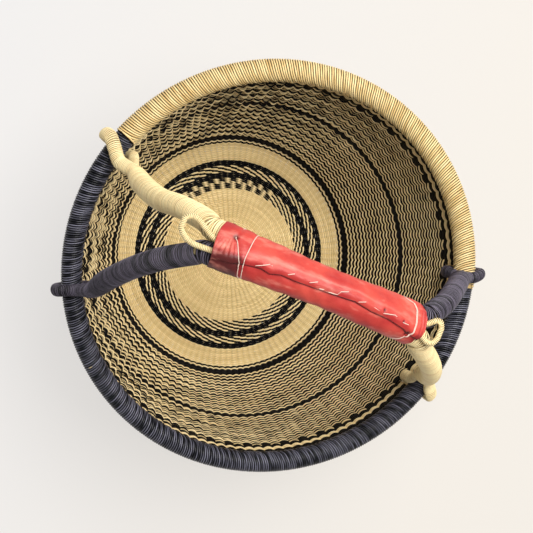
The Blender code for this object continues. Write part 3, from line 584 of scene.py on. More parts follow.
@dataclass(frozen=True)
class BasketSizes:
    """The basket's sizes, in metres and radians."""

    clearance: float = 0.0003
    weave_thickness: float = 0.0045
    floor_flat_radius: float = 0.1125
    floor_pitch: float = 0.00195
    disc_rows: int = 38
    ring_rows: int = 16
    band_rows: int = 10
    corner_radius: float = 0.020
    foot_lean: float = math.radians(35)
    top_lean: float = math.radians(8)
    foot_pull: float = 0.33
    top_pull: float = 0.33
    foot_rows: int = 4
    lower_rows: int = 32
    middle_rows: int = 2
    wall_rows: int = 76
    rows_under_slot: int = 2
    rim_radius: float = 0.1928
    rim_height: float = 0.195
    mouth_shift: float = 0.0078
    mouth_shift_angle: float = math.radians(8)
    mouth_oval: float = 0.0034
    mouth_oval_angle: float = math.radians(40)
    rim_core: float = 0.0080
    natural_wrap: float = 0.0033
    navy_wrap: float = 0.0020
    wall_inset: float = 0.0075
    natural_start: float = math.radians(12)
    natural_end: float = math.radians(156.2)
    lift: float = 0.006
    eye_clearance: float = 0.0006
    eye_half_depth: float = 0.0046
    eye_half_width: float = 0.0058
    slot_clearance: float = 0.0010

    @property
    def rim_plane(self) -> float:
        """Height of the rim's middle."""
        return self.weave_thickness + self.rim_height

    @property
    def natural_radius(self) -> float:
        """Outer radius of the natural part of the rim."""
        return self.rim_core + self.clearance + self.natural_wrap

    @property
    def navy_radius(self) -> float:
        """Outer radius of the navy part of the rim."""
        return self.rim_core + self.clearance + self.navy_wrap

    @property
    def seat_radius(self) -> float:
        """Radius of the seat that the rim has on the wall."""
        return self.natural_radius + self.clearance

    def drift(self, angle: Any) -> Any:
        """How far the mouth lies outside its mean circle at an angle."""
        shift = self.mouth_shift * np.cos(angle - self.mouth_shift_angle)
        return shift + self.mouth_oval * np.cos(2 * (angle - self.mouth_oval_angle))

    def drawn(self, height: Any) -> Any:
        """The share of that drift which a point at this height has."""
        return eased(height / (self.rim_plane - self.seat_radius))

    def rim_place(self, angle: Any) -> tuple[Array, Array]:
        """The middle of the rim at an angle, and the level direction square to the rim there."""
        angle = np.asarray(angle, float)
        radial = np.stack([np.cos(angle), np.sin(angle), np.zeros_like(angle)], axis=-1)
        across = np.stack([-np.sin(angle), np.cos(angle), np.zeros_like(angle)], axis=-1)
        radius = (self.rim_radius + self.drift(angle))[..., None]
        slope = -self.mouth_shift * np.sin(angle - self.mouth_shift_angle)
        slope = (slope - 2 * self.mouth_oval * np.sin(2 * (angle - self.mouth_oval_angle)))[..., None]
        return radial * radius + UP * self.rim_plane, unit(radial * radius - across * slope)

    @property
    def slot_depth(self) -> float:
        """How far a slot for an eye reaches below the wall's top edge."""
        reach = self.lift + self.natural_radius + self.eye_clearance + 2 * self.eye_half_depth
        return reach + self.slot_clearance - math.sqrt(self.seat_radius**2 - self.wall_inset**2)


class Face:
    """The basket's inner face, from the middle of the floor out and up to the rim."""

    CORNER_STEPS = 24
    WALL_STEPS = 96
    OVERSHOOT = 0.012

    def __init__(self, sizes: BasketSizes) -> None:
        """Works out the face's line as lengths, radii and heights."""
        self.sizes = sizes
        turn = math.pi / 2 - sizes.foot_lean
        corner = turn * np.arange(1, self.CORNER_STEPS + 1) / self.CORNER_STEPS
        radii = [0.0, sizes.floor_flat_radius * 0.5, sizes.floor_flat_radius]
        heights = [sizes.weave_thickness] * 3
        radii += list(sizes.floor_flat_radius + sizes.corner_radius * np.sin(corner))
        heights += list(sizes.weave_thickness + sizes.corner_radius * (1 - np.cos(corner)))
        foot = np.array([radii[-1], heights[-1]])
        top = np.array([
            sizes.rim_radius - sizes.wall_inset,
            sizes.rim_plane - math.sqrt(sizes.seat_radius**2 - sizes.wall_inset**2),
        ])
        rise = np.linalg.norm(top - foot)
        belly = foot + np.array([math.sin(sizes.foot_lean), math.cos(sizes.foot_lean)]) * (sizes.foot_pull * rise)
        neck = top - np.array([math.sin(sizes.top_lean), math.cos(sizes.top_lean)]) * (sizes.top_pull * rise)
        wall = bezier(foot, belly, neck, top, self.WALL_STEPS + 1)[1:]
        over = top + unit(top - wall[-2]) * self.OVERSHOOT
        line = np.vstack([np.column_stack([radii, heights]), *wall, over])
        self.lengths = np.concatenate([[0.0], np.cumsum(np.linalg.norm(np.diff(line, axis=0), axis=1))])
        self.line = line
        self.along = unit(np.gradient(line, self.lengths, axis=0))
        self.end = float(self.lengths[-2])
        bottom = float(top[1]) - sizes.slot_depth
        wall_from = len(radii)
        self.slot_from = float(np.interp(bottom, line[wall_from:, 1], self.lengths[wall_from:]))

    def at(self, lengths: Array) -> tuple[Array, Array, Array, Array]:
        """Radius, height and the direction along the face at these lengths."""
        values = [np.interp(lengths, self.lengths, column) for column in (*self.line.T, *self.along.T)]
        return values[0], values[1], values[2], values[3]

    def point(self, lengths: Array, inward: Array, angles: Array) -> tuple[Array, Array, Array]:
        """Points of the weave.

        Args:
            lengths: Lengths along the face.
            inward: Heights above the weave's middle, towards the inside.
            angles: Angles round the Z axis.

        Returns:
            The points, the directions along the face and the directions towards the inside.
        """
        radius, height, dr, dz = self.at(lengths)
        half = self.sizes.weave_thickness / 2
        middle_r, middle_z = radius + dz * half, height - dr * half
        r, z = middle_r - dz * inward, middle_z + dr * inward
        r = r + self.sizes.drift(angles) * self.sizes.drawn(z)
        cos, sin = np.cos(angles), np.sin(angles)
        points = np.stack([r * cos, r * sin, z], axis=-1)
        along = np.stack([dr * cos, dr * sin, dz], axis=-1)
        inside = np.stack([-dz * cos, -dz * sin, dr], axis=-1)
        return points, along, inside


class Dye(Enum):
    """How the two straws of a row show on the inside."""

    NATURAL = 0
    BLACK = 1
    DRIFT = 2
    EDGE = 3


@dataclass(frozen=True)
class Row:
    """One row of twining: two straws that pass each other between the stakes.

    It has its number in its part of the basket, its place along the face, its height, its stakes and its colours.
    Its straws go in and out by the relief, and their half sizes are the depth and a share, the breadth, of the row's
    height. They stand proud of the weave's middle, heave and swell where the weave is loose, and get darker by the
    shade between the stakes.
    """

    index: int
    place: float
    pitch: float
    stakes: int
    dye: Dye
    relief: float
    depth: float
    breadth: float
    proud: float = 0.0
    heave: float = 0.0
    swollen: float = 1.0
    shade: float = 0.3


class Weaver:
    """Makes rows of twining on the basket's face."""

    STEPS = 4
    TAUT_SIDE = math.radians(-10)
    CHECKED_FROM = 74
    CHECKED_TO = 162
    BULGE = (0.80, 1.25)
    WIDTHS = (0.92, 1.06)
    WANDER = 0.00008
    SWING = 0.20
    TONES = (0.15, 0.85)

    def __init__(self, face: Face, seed: int, slots: Sequence[tuple[float, float]], slot_from: float) -> None:
        """Keeps the face, its own luck, and the slots that rows above slot_from stop at."""
        self.face = face
        self.luck = np.random.default_rng(seed)
        self.slots = slots
        self.slot_from = slot_from

    def checked(self, around: Array) -> Array:
        """Whether the pattern ring has checks at these degrees round the basket."""
        return (around > self.CHECKED_FROM) & (around < self.CHECKED_TO)

    def knotted(self, angles: Array, knots: Array) -> Array:
        """Values at these angles that run from knot to knot round the basket."""
        return np.interp(angles % math.tau, np.linspace(0, math.tau, len(knots) + 1), np.append(knots, knots[0]))

    def front(self, row: Row, stake: Array) -> Array:
        """How dyed the straw is that shows on the inside at each stake."""
        if row.dye is Dye.NATURAL:
            return np.zeros(len(stake))
        if row.dye is Dye.BLACK:
            return np.ones(len(stake))
        if row.dye is Dye.DRIFT:
            # Checks three rows high, with a natural line between them, and diagonal dots all the rest of the way.
            checks = 0 if row.index == 3 else (row.index // 3 + stake) % 2
            dots = (row.index + stake) % 2
            return np.where(self.checked(stake / row.stakes * 360.0), checks, dots).astype(float)
        return ((stake + row.index) % 2).astype(float)

    def row(self, straws: Straws, row: Row) -> None:
        """Adds a row's two straws, in one closed run or between the slots."""
        if row.place > self.slot_from:
            edges = sorted(self.slots)
            for index, (angle, half) in enumerate(edges):
                following, following_half = edges[(index + 1) % len(edges)]
                start, end = angle + half, following - following_half
                if end < start:
                    end += math.tau
                self.run(straws, row, start, end)
        else:
            self.run(straws, row, 0.0, math.tau)

    def run(self, straws: Straws, row: Row, start: float, end: float) -> None:
        """Adds the two straws of a row from one angle to another."""
        spacing = math.tau / row.stakes
        closed = end - start > math.tau - 1e-6
        steps = round((end - start) / spacing * self.STEPS)
        if closed:
            angles = start + (np.arange(steps) + 0.5) * spacing / self.STEPS
            hold = np.ones(steps)
        else:
            angles = np.linspace(start, end, steps)
            hold = eased(np.minimum(angles - start, end - angles) / (0.5 * spacing))
        place_in = angles / spacing
        stake = np.round(place_in).astype(int)
        wander = self.knotted(angles, self.luck.normal(0, self.WANDER, 24))
        tone = self.knotted(angles, self.luck.uniform(*self.TONES, 10))
        swing = row.pitch * self.SWING
        bulge = self.luck.uniform(*self.BULGE, row.stakes + 1)
        bulge[-1] = bulge[0]
        swell = np.interp(place_in % row.stakes, np.arange(row.stakes + 1), bulge)
        loose = eased(0.5 - 0.75 * np.cos(angles - self.TAUT_SIDE))
        heave = loose * row.heave * (0.3 + 1.4 * (swell - self.BULGE[0]) / (self.BULGE[1] - self.BULGE[0]))
        for strand in (0, 1):
            wave = np.pi * (place_in + strand)
            inward = row.relief * swell * (1 + 0.5 * loose * (row.heave > 0)) * np.cos(wave) * hold + row.proud + heave
            aside = swing * np.sin(wave) * hold
            in_front = ((stake + strand) % 2) == 0
            front = self.front(row, stake % row.stakes)
            mixed = row.dye in (Dye.DRIFT, Dye.EDGE)
            dark = np.where(in_front, front, 1 - front if mixed else front)
            points, along, inside = self.face.point(row.place + aside + wander, inward, angles)
            jitter = np.repeat(self.luck.uniform(*self.WIDTHS, steps // self.STEPS + 2), self.STEPS)[:steps]
            half = row.pitch * row.breadth * jitter * blend(0.9, 1.0, hold)
            depth = row.depth * blend(0.85, 1.0, hold) * blend(1.0, row.swollen, loose)
            shown = tone - row.shade * (1 - np.abs(np.cos(wave)))
            if row.dye is Dye.DRIFT:
                # Between the stakes of a checked row both colours show.
                between = (np.abs(np.cos(wave)) < 0.6) & self.checked(np.degrees(angles) % 360)
                dark = np.where(between, np.maximum(dark, 0.5), dark)
            straws.add(points, along, inside, half, depth, dark, shown, closed)


@dataclass
class WovenBody:
    """The floor and the wall of twined straw."""

    sizes: BasketSizes
    face: Face
    finishes: Finishes
    eye_angles: Sequence[float]
    stakes_of_wall: int = 120
    stakes_of_ring: int = 82
    stakes_of_band: int = 110
    wall_relief: float = 0.0016
    natural_proud: float = -0.0001
    black_proud: float = 0.0002
    natural_breadth: float = 0.36
    natural_depth: float = 0.00125
    black_breadth: float = 0.61
    black_depth: float = 0.00090
    floor_relief: float = 0.0014
    floor_breadth: float = 0.48
    floor_depth: float = 0.00075
    floor_shade: float = 0.6
    hole_in_disc: float = 0.0022
    foot_extra: float = 0.8
    lower_heave: float = 0.0013
    middle_heave: float = 0.0012
    upper_heave: float = 0.0018
    second_heave: float = 0.7
    swelling: float = 1.35
    slot_overlap: float = 0.0001
    stake_width: float = 0.0011
    stake_depth: float = 0.0007
    stake_step: float = 0.007

    RING = [Dye.DRIFT] * 6 + [Dye.BLACK] * 3 + [Dye.EDGE] * 4 + [Dye.BLACK] * 3
    FOOT = ((Dye.BLACK, 0.8), (Dye.NATURAL, 0.8), (Dye.BLACK, 1.65), (Dye.BLACK, 1.65))
    TOP = (
        (Dye.EDGE, 1.2), (Dye.BLACK, 1.25), (Dye.BLACK, 1.25), (Dye.NATURAL, 1.3), (Dye.NATURAL, 1.3),
        (Dye.BLACK, 1.1), (Dye.BLACK, 1.2), (Dye.BLACK, 1.2),
    )

    def build(self) -> None:
        """Weaves every part of the floor and the wall, row by row."""
        sizes = self.sizes
        half_slot = (sizes.eye_half_width - self.slot_overlap) / (sizes.rim_radius - sizes.wall_inset)
        slots = [(angle % math.tau, half_slot) for angle in self.eye_angles]
        weaver = Weaver(self.face, seed=7, slots=slots, slot_from=self.face.slot_from)
        self.floor(weaver)
        self.wall(weaver)
        self.stakes()

    def floor(self, weaver: Weaver) -> None:
        """Weaves the disc, the pattern ring and the natural band round it."""
        base = self.sizes.disc_rows
        disc = [self.floor_row(i, i, self.disc_stakes(i), Dye.NATURAL) for i in range(base)]
        disc = [row for row in disc if row.place > self.hole_in_disc]
        self.weave(weaver, "floor_disc", disc, Slot.NATURAL, ("base_weave",), "floor")
        ring = [self.floor_row(i, base + i, self.stakes_of_ring, dye) for i, dye in enumerate(self.RING)]
        self.weave(weaver, "pattern_ring", ring, Slot.STRIPED, ("pattern_ring_weave",))
        base += self.sizes.ring_rows
        band = [self.floor_row(i, base + i, self.stakes_of_band, Dye.NATURAL) for i in range(self.sizes.band_rows)]
        self.weave(weaver, "floor_band", band, Slot.NATURAL, ("floor_band_weave",), "floor")

    def wall(self, weaver: Weaver) -> None:
        """Weaves the wall, from the black double ring at its foot to the rows under the rim."""
        sizes, face = self.sizes, self.face
        start = (sizes.disc_rows + sizes.ring_rows + sizes.band_rows) * sizes.floor_pitch
        pitch = (face.end - start) / sizes.wall_rows
        top_rows = math.ceil((face.end - face.slot_from) / pitch) + sizes.rows_under_slot
        upper_rows = sizes.wall_rows - sizes.foot_rows - sizes.lower_rows - sizes.middle_rows - top_rows
        log.info("rows of %.2f mm, %d under the rim, %d above the middle ring", 1e3 * pitch, top_rows, upper_rows)
        # The ring at the foot is taller than its share of rows, and the lower wall's rows make room for it.
        foot_height = (sizes.foot_rows + self.foot_extra) * pitch
        self.weave(weaver, "foot_ring", self.uneven(start, foot_height, self.FOOT), Slot.BLACK, ("black_ring_weave",))
        start += foot_height
        lower_pitch = pitch * (sizes.lower_rows - self.foot_extra) / sizes.lower_rows
        self.striped(weaver, "lower_wall", start, lower_pitch, sizes.lower_rows, bunch=4, heave=self.lower_heave)
        start += sizes.lower_rows * lower_pitch
        rows = [self.wall_row(i, start, pitch, Dye.BLACK, 2, self.middle_heave) for i in range(sizes.middle_rows)]
        self.weave(weaver, "middle_ring", rows, Slot.BLACK, ("middle_ring_weave",))
        start += sizes.middle_rows * pitch
        self.striped(weaver, "upper_wall", start, pitch, upper_rows, bunch=8, heave=self.upper_heave)
        start += upper_rows * pitch
        rows = self.uneven(start, top_rows * pitch, self.TOP)
        self.weave(weaver, "top_rows", rows, Slot.STRIPED, ("top_ring_weave",))

    @staticmethod
    def disc_stakes(index: int) -> int:
        """How many stakes the disc's rows have, from the middle out."""
        for rows, count in ((5, 16), (11, 28), (20, 44), (30, 60)):
            if index < rows:
                return count
        return 76

    def floor_row(self, index: int, number: int, stakes: int, dye: Dye) -> Row:
        """A row of the floor by its number from the middle."""
        pitch = self.sizes.floor_pitch
        return Row(
            index, (number + 0.5) * pitch, pitch, stakes, dye, self.floor_relief, self.floor_depth, self.floor_breadth,
            shade=self.floor_shade,
        )

    def wall_row(self, index: int, start: float, pitch: float, dye: Dye, bunch: int = 0, heave: float = 0.0) -> Row:
        """A row of the wall.

        Args:
            index: Its number in its part of the wall.
            start: Where that part starts, as a length along the face.
            pitch: The height of a row.
            dye: The colour of its straws.
            bunch: On the loose side of the wall, two of so many rows stand out.
            heave: How far they do.

        Returns:
            The row.
        """
        natural = dye is Dye.NATURAL
        proud = self.natural_proud if natural else self.black_proud
        at = start + (index + 0.5) * pitch
        order = (index - 2) % max(bunch, 1)
        first = bunch > 0 and order < 2
        swollen = self.swelling if first and order == 0 else 1.0
        raised = heave * (1.0 if order == 0 else self.second_heave) if first else 0.0
        breadth = self.natural_breadth if natural else self.black_breadth
        depth = self.natural_depth if natural else self.black_depth
        return Row(
            index, at, pitch, self.stakes_of_wall, dye, self.wall_relief, depth, breadth, proud, raised, swollen
        )

    def uneven(self, start: float, length: float, plan: Sequence[tuple[Dye, float]]) -> list[Row]:
        """Rows of differing heights that fill a length of the wall from start on."""
        rows, at = [], start
        for index, (dye, share) in enumerate(plan):
            pitch = length * share / sum(part for _, part in plan)
            rows.append(self.wall_row(index, at - index * pitch, pitch, dye))
            at += pitch
        return rows

    def striped(
        self, weaver: Weaver, name: str, start: float, pitch: float, count: int, bunch: int, heave: float
    ) -> None:
        """A run of the wall in which natural and black rows alternate, as one piece of each."""
        for dye, label, slot in ((Dye.NATURAL, "natural", Slot.NATURAL), (Dye.BLACK, "black", Slot.BLACK)):
            chosen = [i for i in range(count) if (i % 2 == 0) == (dye is Dye.NATURAL)]
            rows = [self.wall_row(i, start, pitch, dye, bunch, heave) for i in chosen]
            self.weave(weaver, f"{name}_{label}", rows, slot, (f"{name}_weave",) if dye is Dye.NATURAL else ())

    def weave(
        self, weaver: Weaver, name: str, rows: Iterable[Row], slot: Slot, nodes: Sequence[str], finish: str = "woven"
    ) -> None:
        """Makes one piece of these rows."""
        straws = Straws(name)
        for row in rows:
            weaver.row(straws, row)
        straws.build(self.finishes[finish], BASKET, slot, nodes)

    def stakes(self) -> None:
        """The upright straws that the rows close round, from the middle of the floor to the rim."""
        straws = Straws("stakes")
        rings = (
            (16, 0.003, 0.012), (28, 0.009, 0.024), (44, 0.021, 0.042), (60, 0.038, 0.062), (76, 0.058, 0.076),
            (self.stakes_of_ring, 0.074, 0.107), (self.stakes_of_band, 0.105, 0.127),
            (self.stakes_of_wall, 0.124, self.face.end + 0.004),
        )
        for count, start, end in rings:
            steps = max(4, round((end - start) / self.stake_step))
            lengths = np.linspace(start, end, steps)
            for stake in range(count):
                angles = np.full(steps, math.tau * stake / count)
                points, _, inside = self.face.point(lengths, np.zeros(steps), angles)
                sideways = np.stack([-np.sin(angles), np.cos(angles), np.zeros(steps)], axis=-1)
                straws.add(points, sideways, inside, self.stake_width, self.stake_depth, 0.0, 0.25)
        # The cross of two straws that the weaving starts from.
        for turn in (0.2, 0.2 + math.pi / 2):
            angles = np.repeat([turn, turn + math.pi], 3)
            lengths = np.array([0.0045, 0.003, 0.0001, 0.0001, 0.003, 0.0045])
            points, _, inside = self.face.point(lengths, np.full(6, 0.0004), angles)
            sideways = np.tile([-math.sin(turn), math.cos(turn), 0.0], (6, 1))
            straws.add(points, sideways, inside, 0.0024, 0.0009, 0.0, 0.4)
        straws.build(self.finishes["woven"], BASKET, Slot.NATURAL)


# ---------------------------------------------------------------------------
# Windings


@dataclass
class Route:
    """A line with a frame and an oval section at each of its points."""

    centre: Array
    across: Array
    outward: Array
    half_across: Array
    half_outward: Array

    def __post_init__(self) -> None:
        """Works out the length along the line."""
        steps = np.linalg.norm(np.diff(self.centre, axis=0), axis=1)
        self.lengths = np.concatenate([[0.0], np.cumsum(steps)])
        self.total = float(self.lengths[-1])

    def at(self, lengths: Array) -> tuple[Array, Array, Array, Array, Array, Array]:
        """The line's point, its frame and half sizes at these lengths."""
        def read(values: Array) -> Array:
            """One array, read at the lengths."""
            if values.ndim == 1:
                return np.interp(lengths, self.lengths, values)
            return np.stack([np.interp(lengths, self.lengths, column) for column in values.T], axis=-1)

        across, outward = unit(read(self.across)), unit(read(self.outward))
        forward = unit(np.cross(across, outward))
        return read(self.centre), across, outward, forward, read(self.half_across), read(self.half_outward)


@dataclass
class Winding:
    """Straw wound round a line, with a plain layer of straw under it.

    It says how far apart the straws lie, how many run side by side, their half sizes and the points in a turn, how
    far they lean, how deep some of them dip on one side of the line, how unevenly they lie and which way they turn,
    with a seed for its luck, a share of pale flecks and how much the straws differ in shade.
    """

    pitch: float = 0.0020
    starts: int = 1
    half_width: float = 0.00115
    half_depth: float = 0.00075
    steps: int = 18
    skew: float = 0.0
    dip: float = 0.0
    dip_phase: float = math.pi
    wobble: float = 0.00015
    hand: int = 1
    seed: int = 1
    flecks: float = 0.0
    tone_span: float = 0.35

    FLECK_DARK = 0.15
    UNDER_SIDES = 12
    UNDER_STEP = 0.006
    UNDER_DEPTH = 1.7
    UNDER_TONE = 0.1

    def add(self, straws: Straws, route: Route, dark: float) -> None:
        """Winds a route.

        Args:
            straws: The piece that the straws go into.
            route: The line, with its outer half sizes.
            dark: How dyed the straw is.
        """
        luck = np.random.default_rng(self.seed)
        self.underlay(straws, route, dark)
        advance = self.pitch * self.starts
        turns = route.total / advance
        count = max(8, int(turns * self.steps))
        for start in range(self.starts):
            phase = np.linspace(0.0, turns, count)
            turn = phase + start / self.starts
            angle = math.tau * turn * self.hand
            numbers = luck.uniform(-1, 1, int(turns * self.starts) + 8)
            number = phase * self.starts + start
            stray = np.interp(number, np.arange(len(numbers)), numbers)
            lengths = phase * advance + self.skew * np.sin(angle) + self.wobble * stray
            lengths = np.clip(lengths, 0.0, route.total)
            centre, across, outward, forward, half_a, half_o = route.at(lengths)
            sunk = self.half_depth + self.dip * self.dipping(angle, start)
            cos, sin = np.cos(angle)[:, None], np.sin(angle)[:, None]
            normal = unit(across * cos * half_o[:, None] + outward * sin * half_a[:, None])
            points = centre + across * cos * half_a[:, None] + outward * sin * half_o[:, None]
            points = points - normal * sunk[:, None]
            tones = np.interp(number, np.arange(len(numbers)), luck.permutation(numbers)) * self.tone_span + 0.5
            shade = np.full(count, dark)
            if self.flecks:
                pale = (stray > 1 - self.flecks) & (np.sin(3 * angle + start) > 0.6)
                shade = np.where(pale, self.FLECK_DARK, shade)
            straws.add(points, forward, normal, self.half_width, self.half_depth, shade, tones)

    def dipping(self, angle: Array, start: int) -> Array:
        """How far straws sink under their neighbours, from 0 to 1, on one side of the line."""
        window = eased(0.35 + 0.9 * np.cos(angle - self.dip_phase))
        return window * (0.5 + 0.5 * np.cos(4 * angle + math.pi * start))

    def underlay(self, straws: Straws, route: Route, dark: float) -> None:
        """The layer below the winding, which closes the gaps between its straws."""
        steps = max(6, round(route.total / self.UNDER_STEP))
        centre, across, outward, _, half_a, half_o = route.at(np.linspace(0.0, route.total, steps))
        under = self.UNDER_DEPTH * self.half_depth
        sides, straws.sides = straws.sides, self.UNDER_SIDES
        straws.add(centre, across, outward, half_a - under, half_o - under, dark, self.UNDER_TONE)
        straws.sides = sides


@dataclass
class BoundRim:
    """The rim's two windings, natural on one side and navy on the other."""

    sizes: BasketSizes
    finishes: Finishes

    def route(self, start: float, end: float, radius: float) -> Route:
        """The rim's line between two angles."""
        steps = max(8, round((end - start) / math.radians(2)))
        angles = np.linspace(start, end, steps)
        centre, out = self.sizes.rim_place(angles)
        size = np.full(steps, radius)
        return Route(centre, out, np.tile(UP, (steps, 1)), size, size)

    def build(self) -> None:
        """Winds both parts of the rim and dresses the grass inside."""
        sizes = self.sizes
        gap = sizes.clearance / sizes.rim_radius
        natural = Straws("natural_rim", 4)
        winding = Winding(
            pitch=0.00235, starts=7, half_width=0.00118, half_depth=0.0010, steps=24, skew=0.0034, dip=0.0008,
            wobble=0.0002, hand=-1, seed=3, tone_span=0.45,
        )
        winding.add(natural, self.route(sizes.natural_start + gap, sizes.natural_end - gap, sizes.natural_radius), 0.0)
        natural.build(self.finishes["rim"], BASKET, Slot.NATURAL, ("natural_rim_binding",))
        navy = Straws("navy_rim", 4)
        winding = Winding(
            pitch=0.0021, starts=6, half_width=0.00106, half_depth=0.0009, steps=22, skew=0.0026, dip=0.0007,
            wobble=0.0002, hand=-1, seed=5, flecks=0.02, tone_span=0.45,
        )
        route = self.route(sizes.natural_end + gap, sizes.natural_start + math.tau - gap, sizes.navy_radius)
        winding.add(navy, route, 1.0)
        navy.build(self.finishes["navy"], BASKET, Slot.NAVY, ("navy_rim_binding",))
        dress_node("rim_core", self.finishes["grass"])


def dress_node(node: str, material: bpy.types.Material) -> None:
    """Gives a CAD node that stays a better material."""
    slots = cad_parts[node].data.materials
    slots.clear()
    slots.append(material)


# ---------------------------------------------------------------------------
# Handles


@dataclass(frozen=True)
class HandleSizes:
    """The sizes of the handles and of what is on the grip, in metres and radians, or as shares of a length."""

    core_radius: float = 0.0082
    wrap: float = 0.0016
    mouth_wrap: float = 0.0008
    taper: float = 0.010
    binding_start: float = 0.0055
    left_spread: float = 0.0146
    right_spread: float = 0.0151
    spread_reach: float = 0.0085
    spread_fall: float = 0.0080
    neck_wrap: float = 0.0008
    round_off: float = 0.020
    mouth_turn: float = 0.17
    neck_turn: float = 0.75
    navy_splay: float = math.radians(60)
    natural_splay: float = math.radians(52)
    natural_apart: float = 1.5
    natural_swell: float = 0.18
    leg_end: float = 0.008
    eye_leg: float = 0.013
    crotch: float = 0.013
    eye_pull: float = 0.62
    crotch_pull: float = 0.55
    grip_length: float = 0.196
    grip_height: float = 0.206
    grip_sag: float = 0.016
    grip_x: float = 0.0035
    grip_y: float = -0.0018
    grip_turn: float = math.radians(-3.6)
    leather: float = 0.0017
    half_width: float = 0.0170
    half_height: float = 0.0131
    left_mouth: float = 0.0204
    right_mouth: float = 0.0188
    mouth_height: float = 0.0146
    flare: float = 0.9
    seam_overlap: float = math.radians(26)
    seam_rise: float = math.radians(34)
    seam_step: float = math.radians(14)
    twist_end: float = 0.72
    flatten_end: float = 0.84
    cord_radius: float = 0.00042
    cord_height: float = 0.0003
    loop_cord: float = 0.0026
    loop_headroom: float = 0.0016
    loop_rise: float = 0.0070
    loop_tail: float = 0.86
    loop_start: float = 0.94
    loop_leg: float = 0.0047
    loop_offset: float = 0.0021


class Grip:
    """The line of the grip and the room inside its leather."""

    def __init__(self, sizes: HandleSizes, clearance: float) -> None:
        """Keeps the sizes and the gap between the pieces."""
        self.sizes = sizes
        self.clearance = clearance

    def station(self, share: Any) -> tuple[Array, Array, Array, Array]:
        """Centre, direction, side and upward vectors at a share of the grip's half length."""
        s = self.sizes
        share = np.asarray(share, float)[..., None]
        direction = np.array([math.cos(s.grip_turn), math.sin(s.grip_turn), 0.0])
        side = np.array([-direction[1], direction[0], 0.0])
        half = s.grip_length / 2
        centre = np.array([s.grip_x, s.grip_y, s.grip_height]) - UP * (s.grip_sag * share * share)
        centre = centre + direction * (half * share)
        along = unit(direction * half - UP * (2 * s.grip_sag * share))
        side = np.broadcast_to(side, along.shape)
        return centre, along, side, np.cross(along, side)

    def room(self, share: Any) -> tuple[Array, Array]:
        """Half width and half height inside the leather."""
        s = self.sizes
        share = np.asarray(share, float)
        mouth = np.where(share < 0, s.left_mouth, s.right_mouth)
        spread = eased(np.abs(share) / s.flare)
        return blend(s.half_width, mouth, spread) - s.leather, blend(s.half_height, s.mouth_height, spread) - s.leather

    def mouth_core_height(self) -> float:
        """Half height of a core at a mouth."""
        s = self.sizes
        return s.mouth_height - s.leather - 2 * s.loop_cord - self.clearance - s.loop_headroom

    def core_section(self, share: float) -> tuple[float, float, float, float]:
        """Half width, half height, side offset and rise of the upper core."""
        s = self.sizes
        room_width, room_height = (float(v) for v in self.room(share))
        width = (room_width - self.clearance) / 2 - self.clearance / 4
        height = (room_height - self.clearance) / 2 - self.clearance / 4
        turn = math.pi / 2 * min(max(share / s.twist_end, -1), 1)
        flat = float(eased((abs(share) - s.twist_end) / (s.flatten_end - s.twist_end)))
        aside = -(width + self.clearance / 2) * math.sin(turn)
        rise = (height + self.clearance / 2) * math.cos(turn)
        return width, blend(height, self.mouth_core_height(), flat), aside, rise

    def flap_lift(self, angle: Array) -> Array:
        """How far the upper layer of leather stands off the lower one."""
        s = self.sizes
        return (s.leather + self.clearance) * eased((angle - math.tau + s.seam_rise) / s.seam_rise)

    def skin(self, share: Array, angle: Array, offset: Array) -> Array:
        """Points round the grip, at an offset from the leather's inner face."""
        centre, _, side, upward = self.station(share)
        width, height = self.room(share)
        out = side * ((width + offset) * np.cos(angle))[..., None]
        return centre + out + upward * ((height + offset) * np.sin(angle))[..., None]


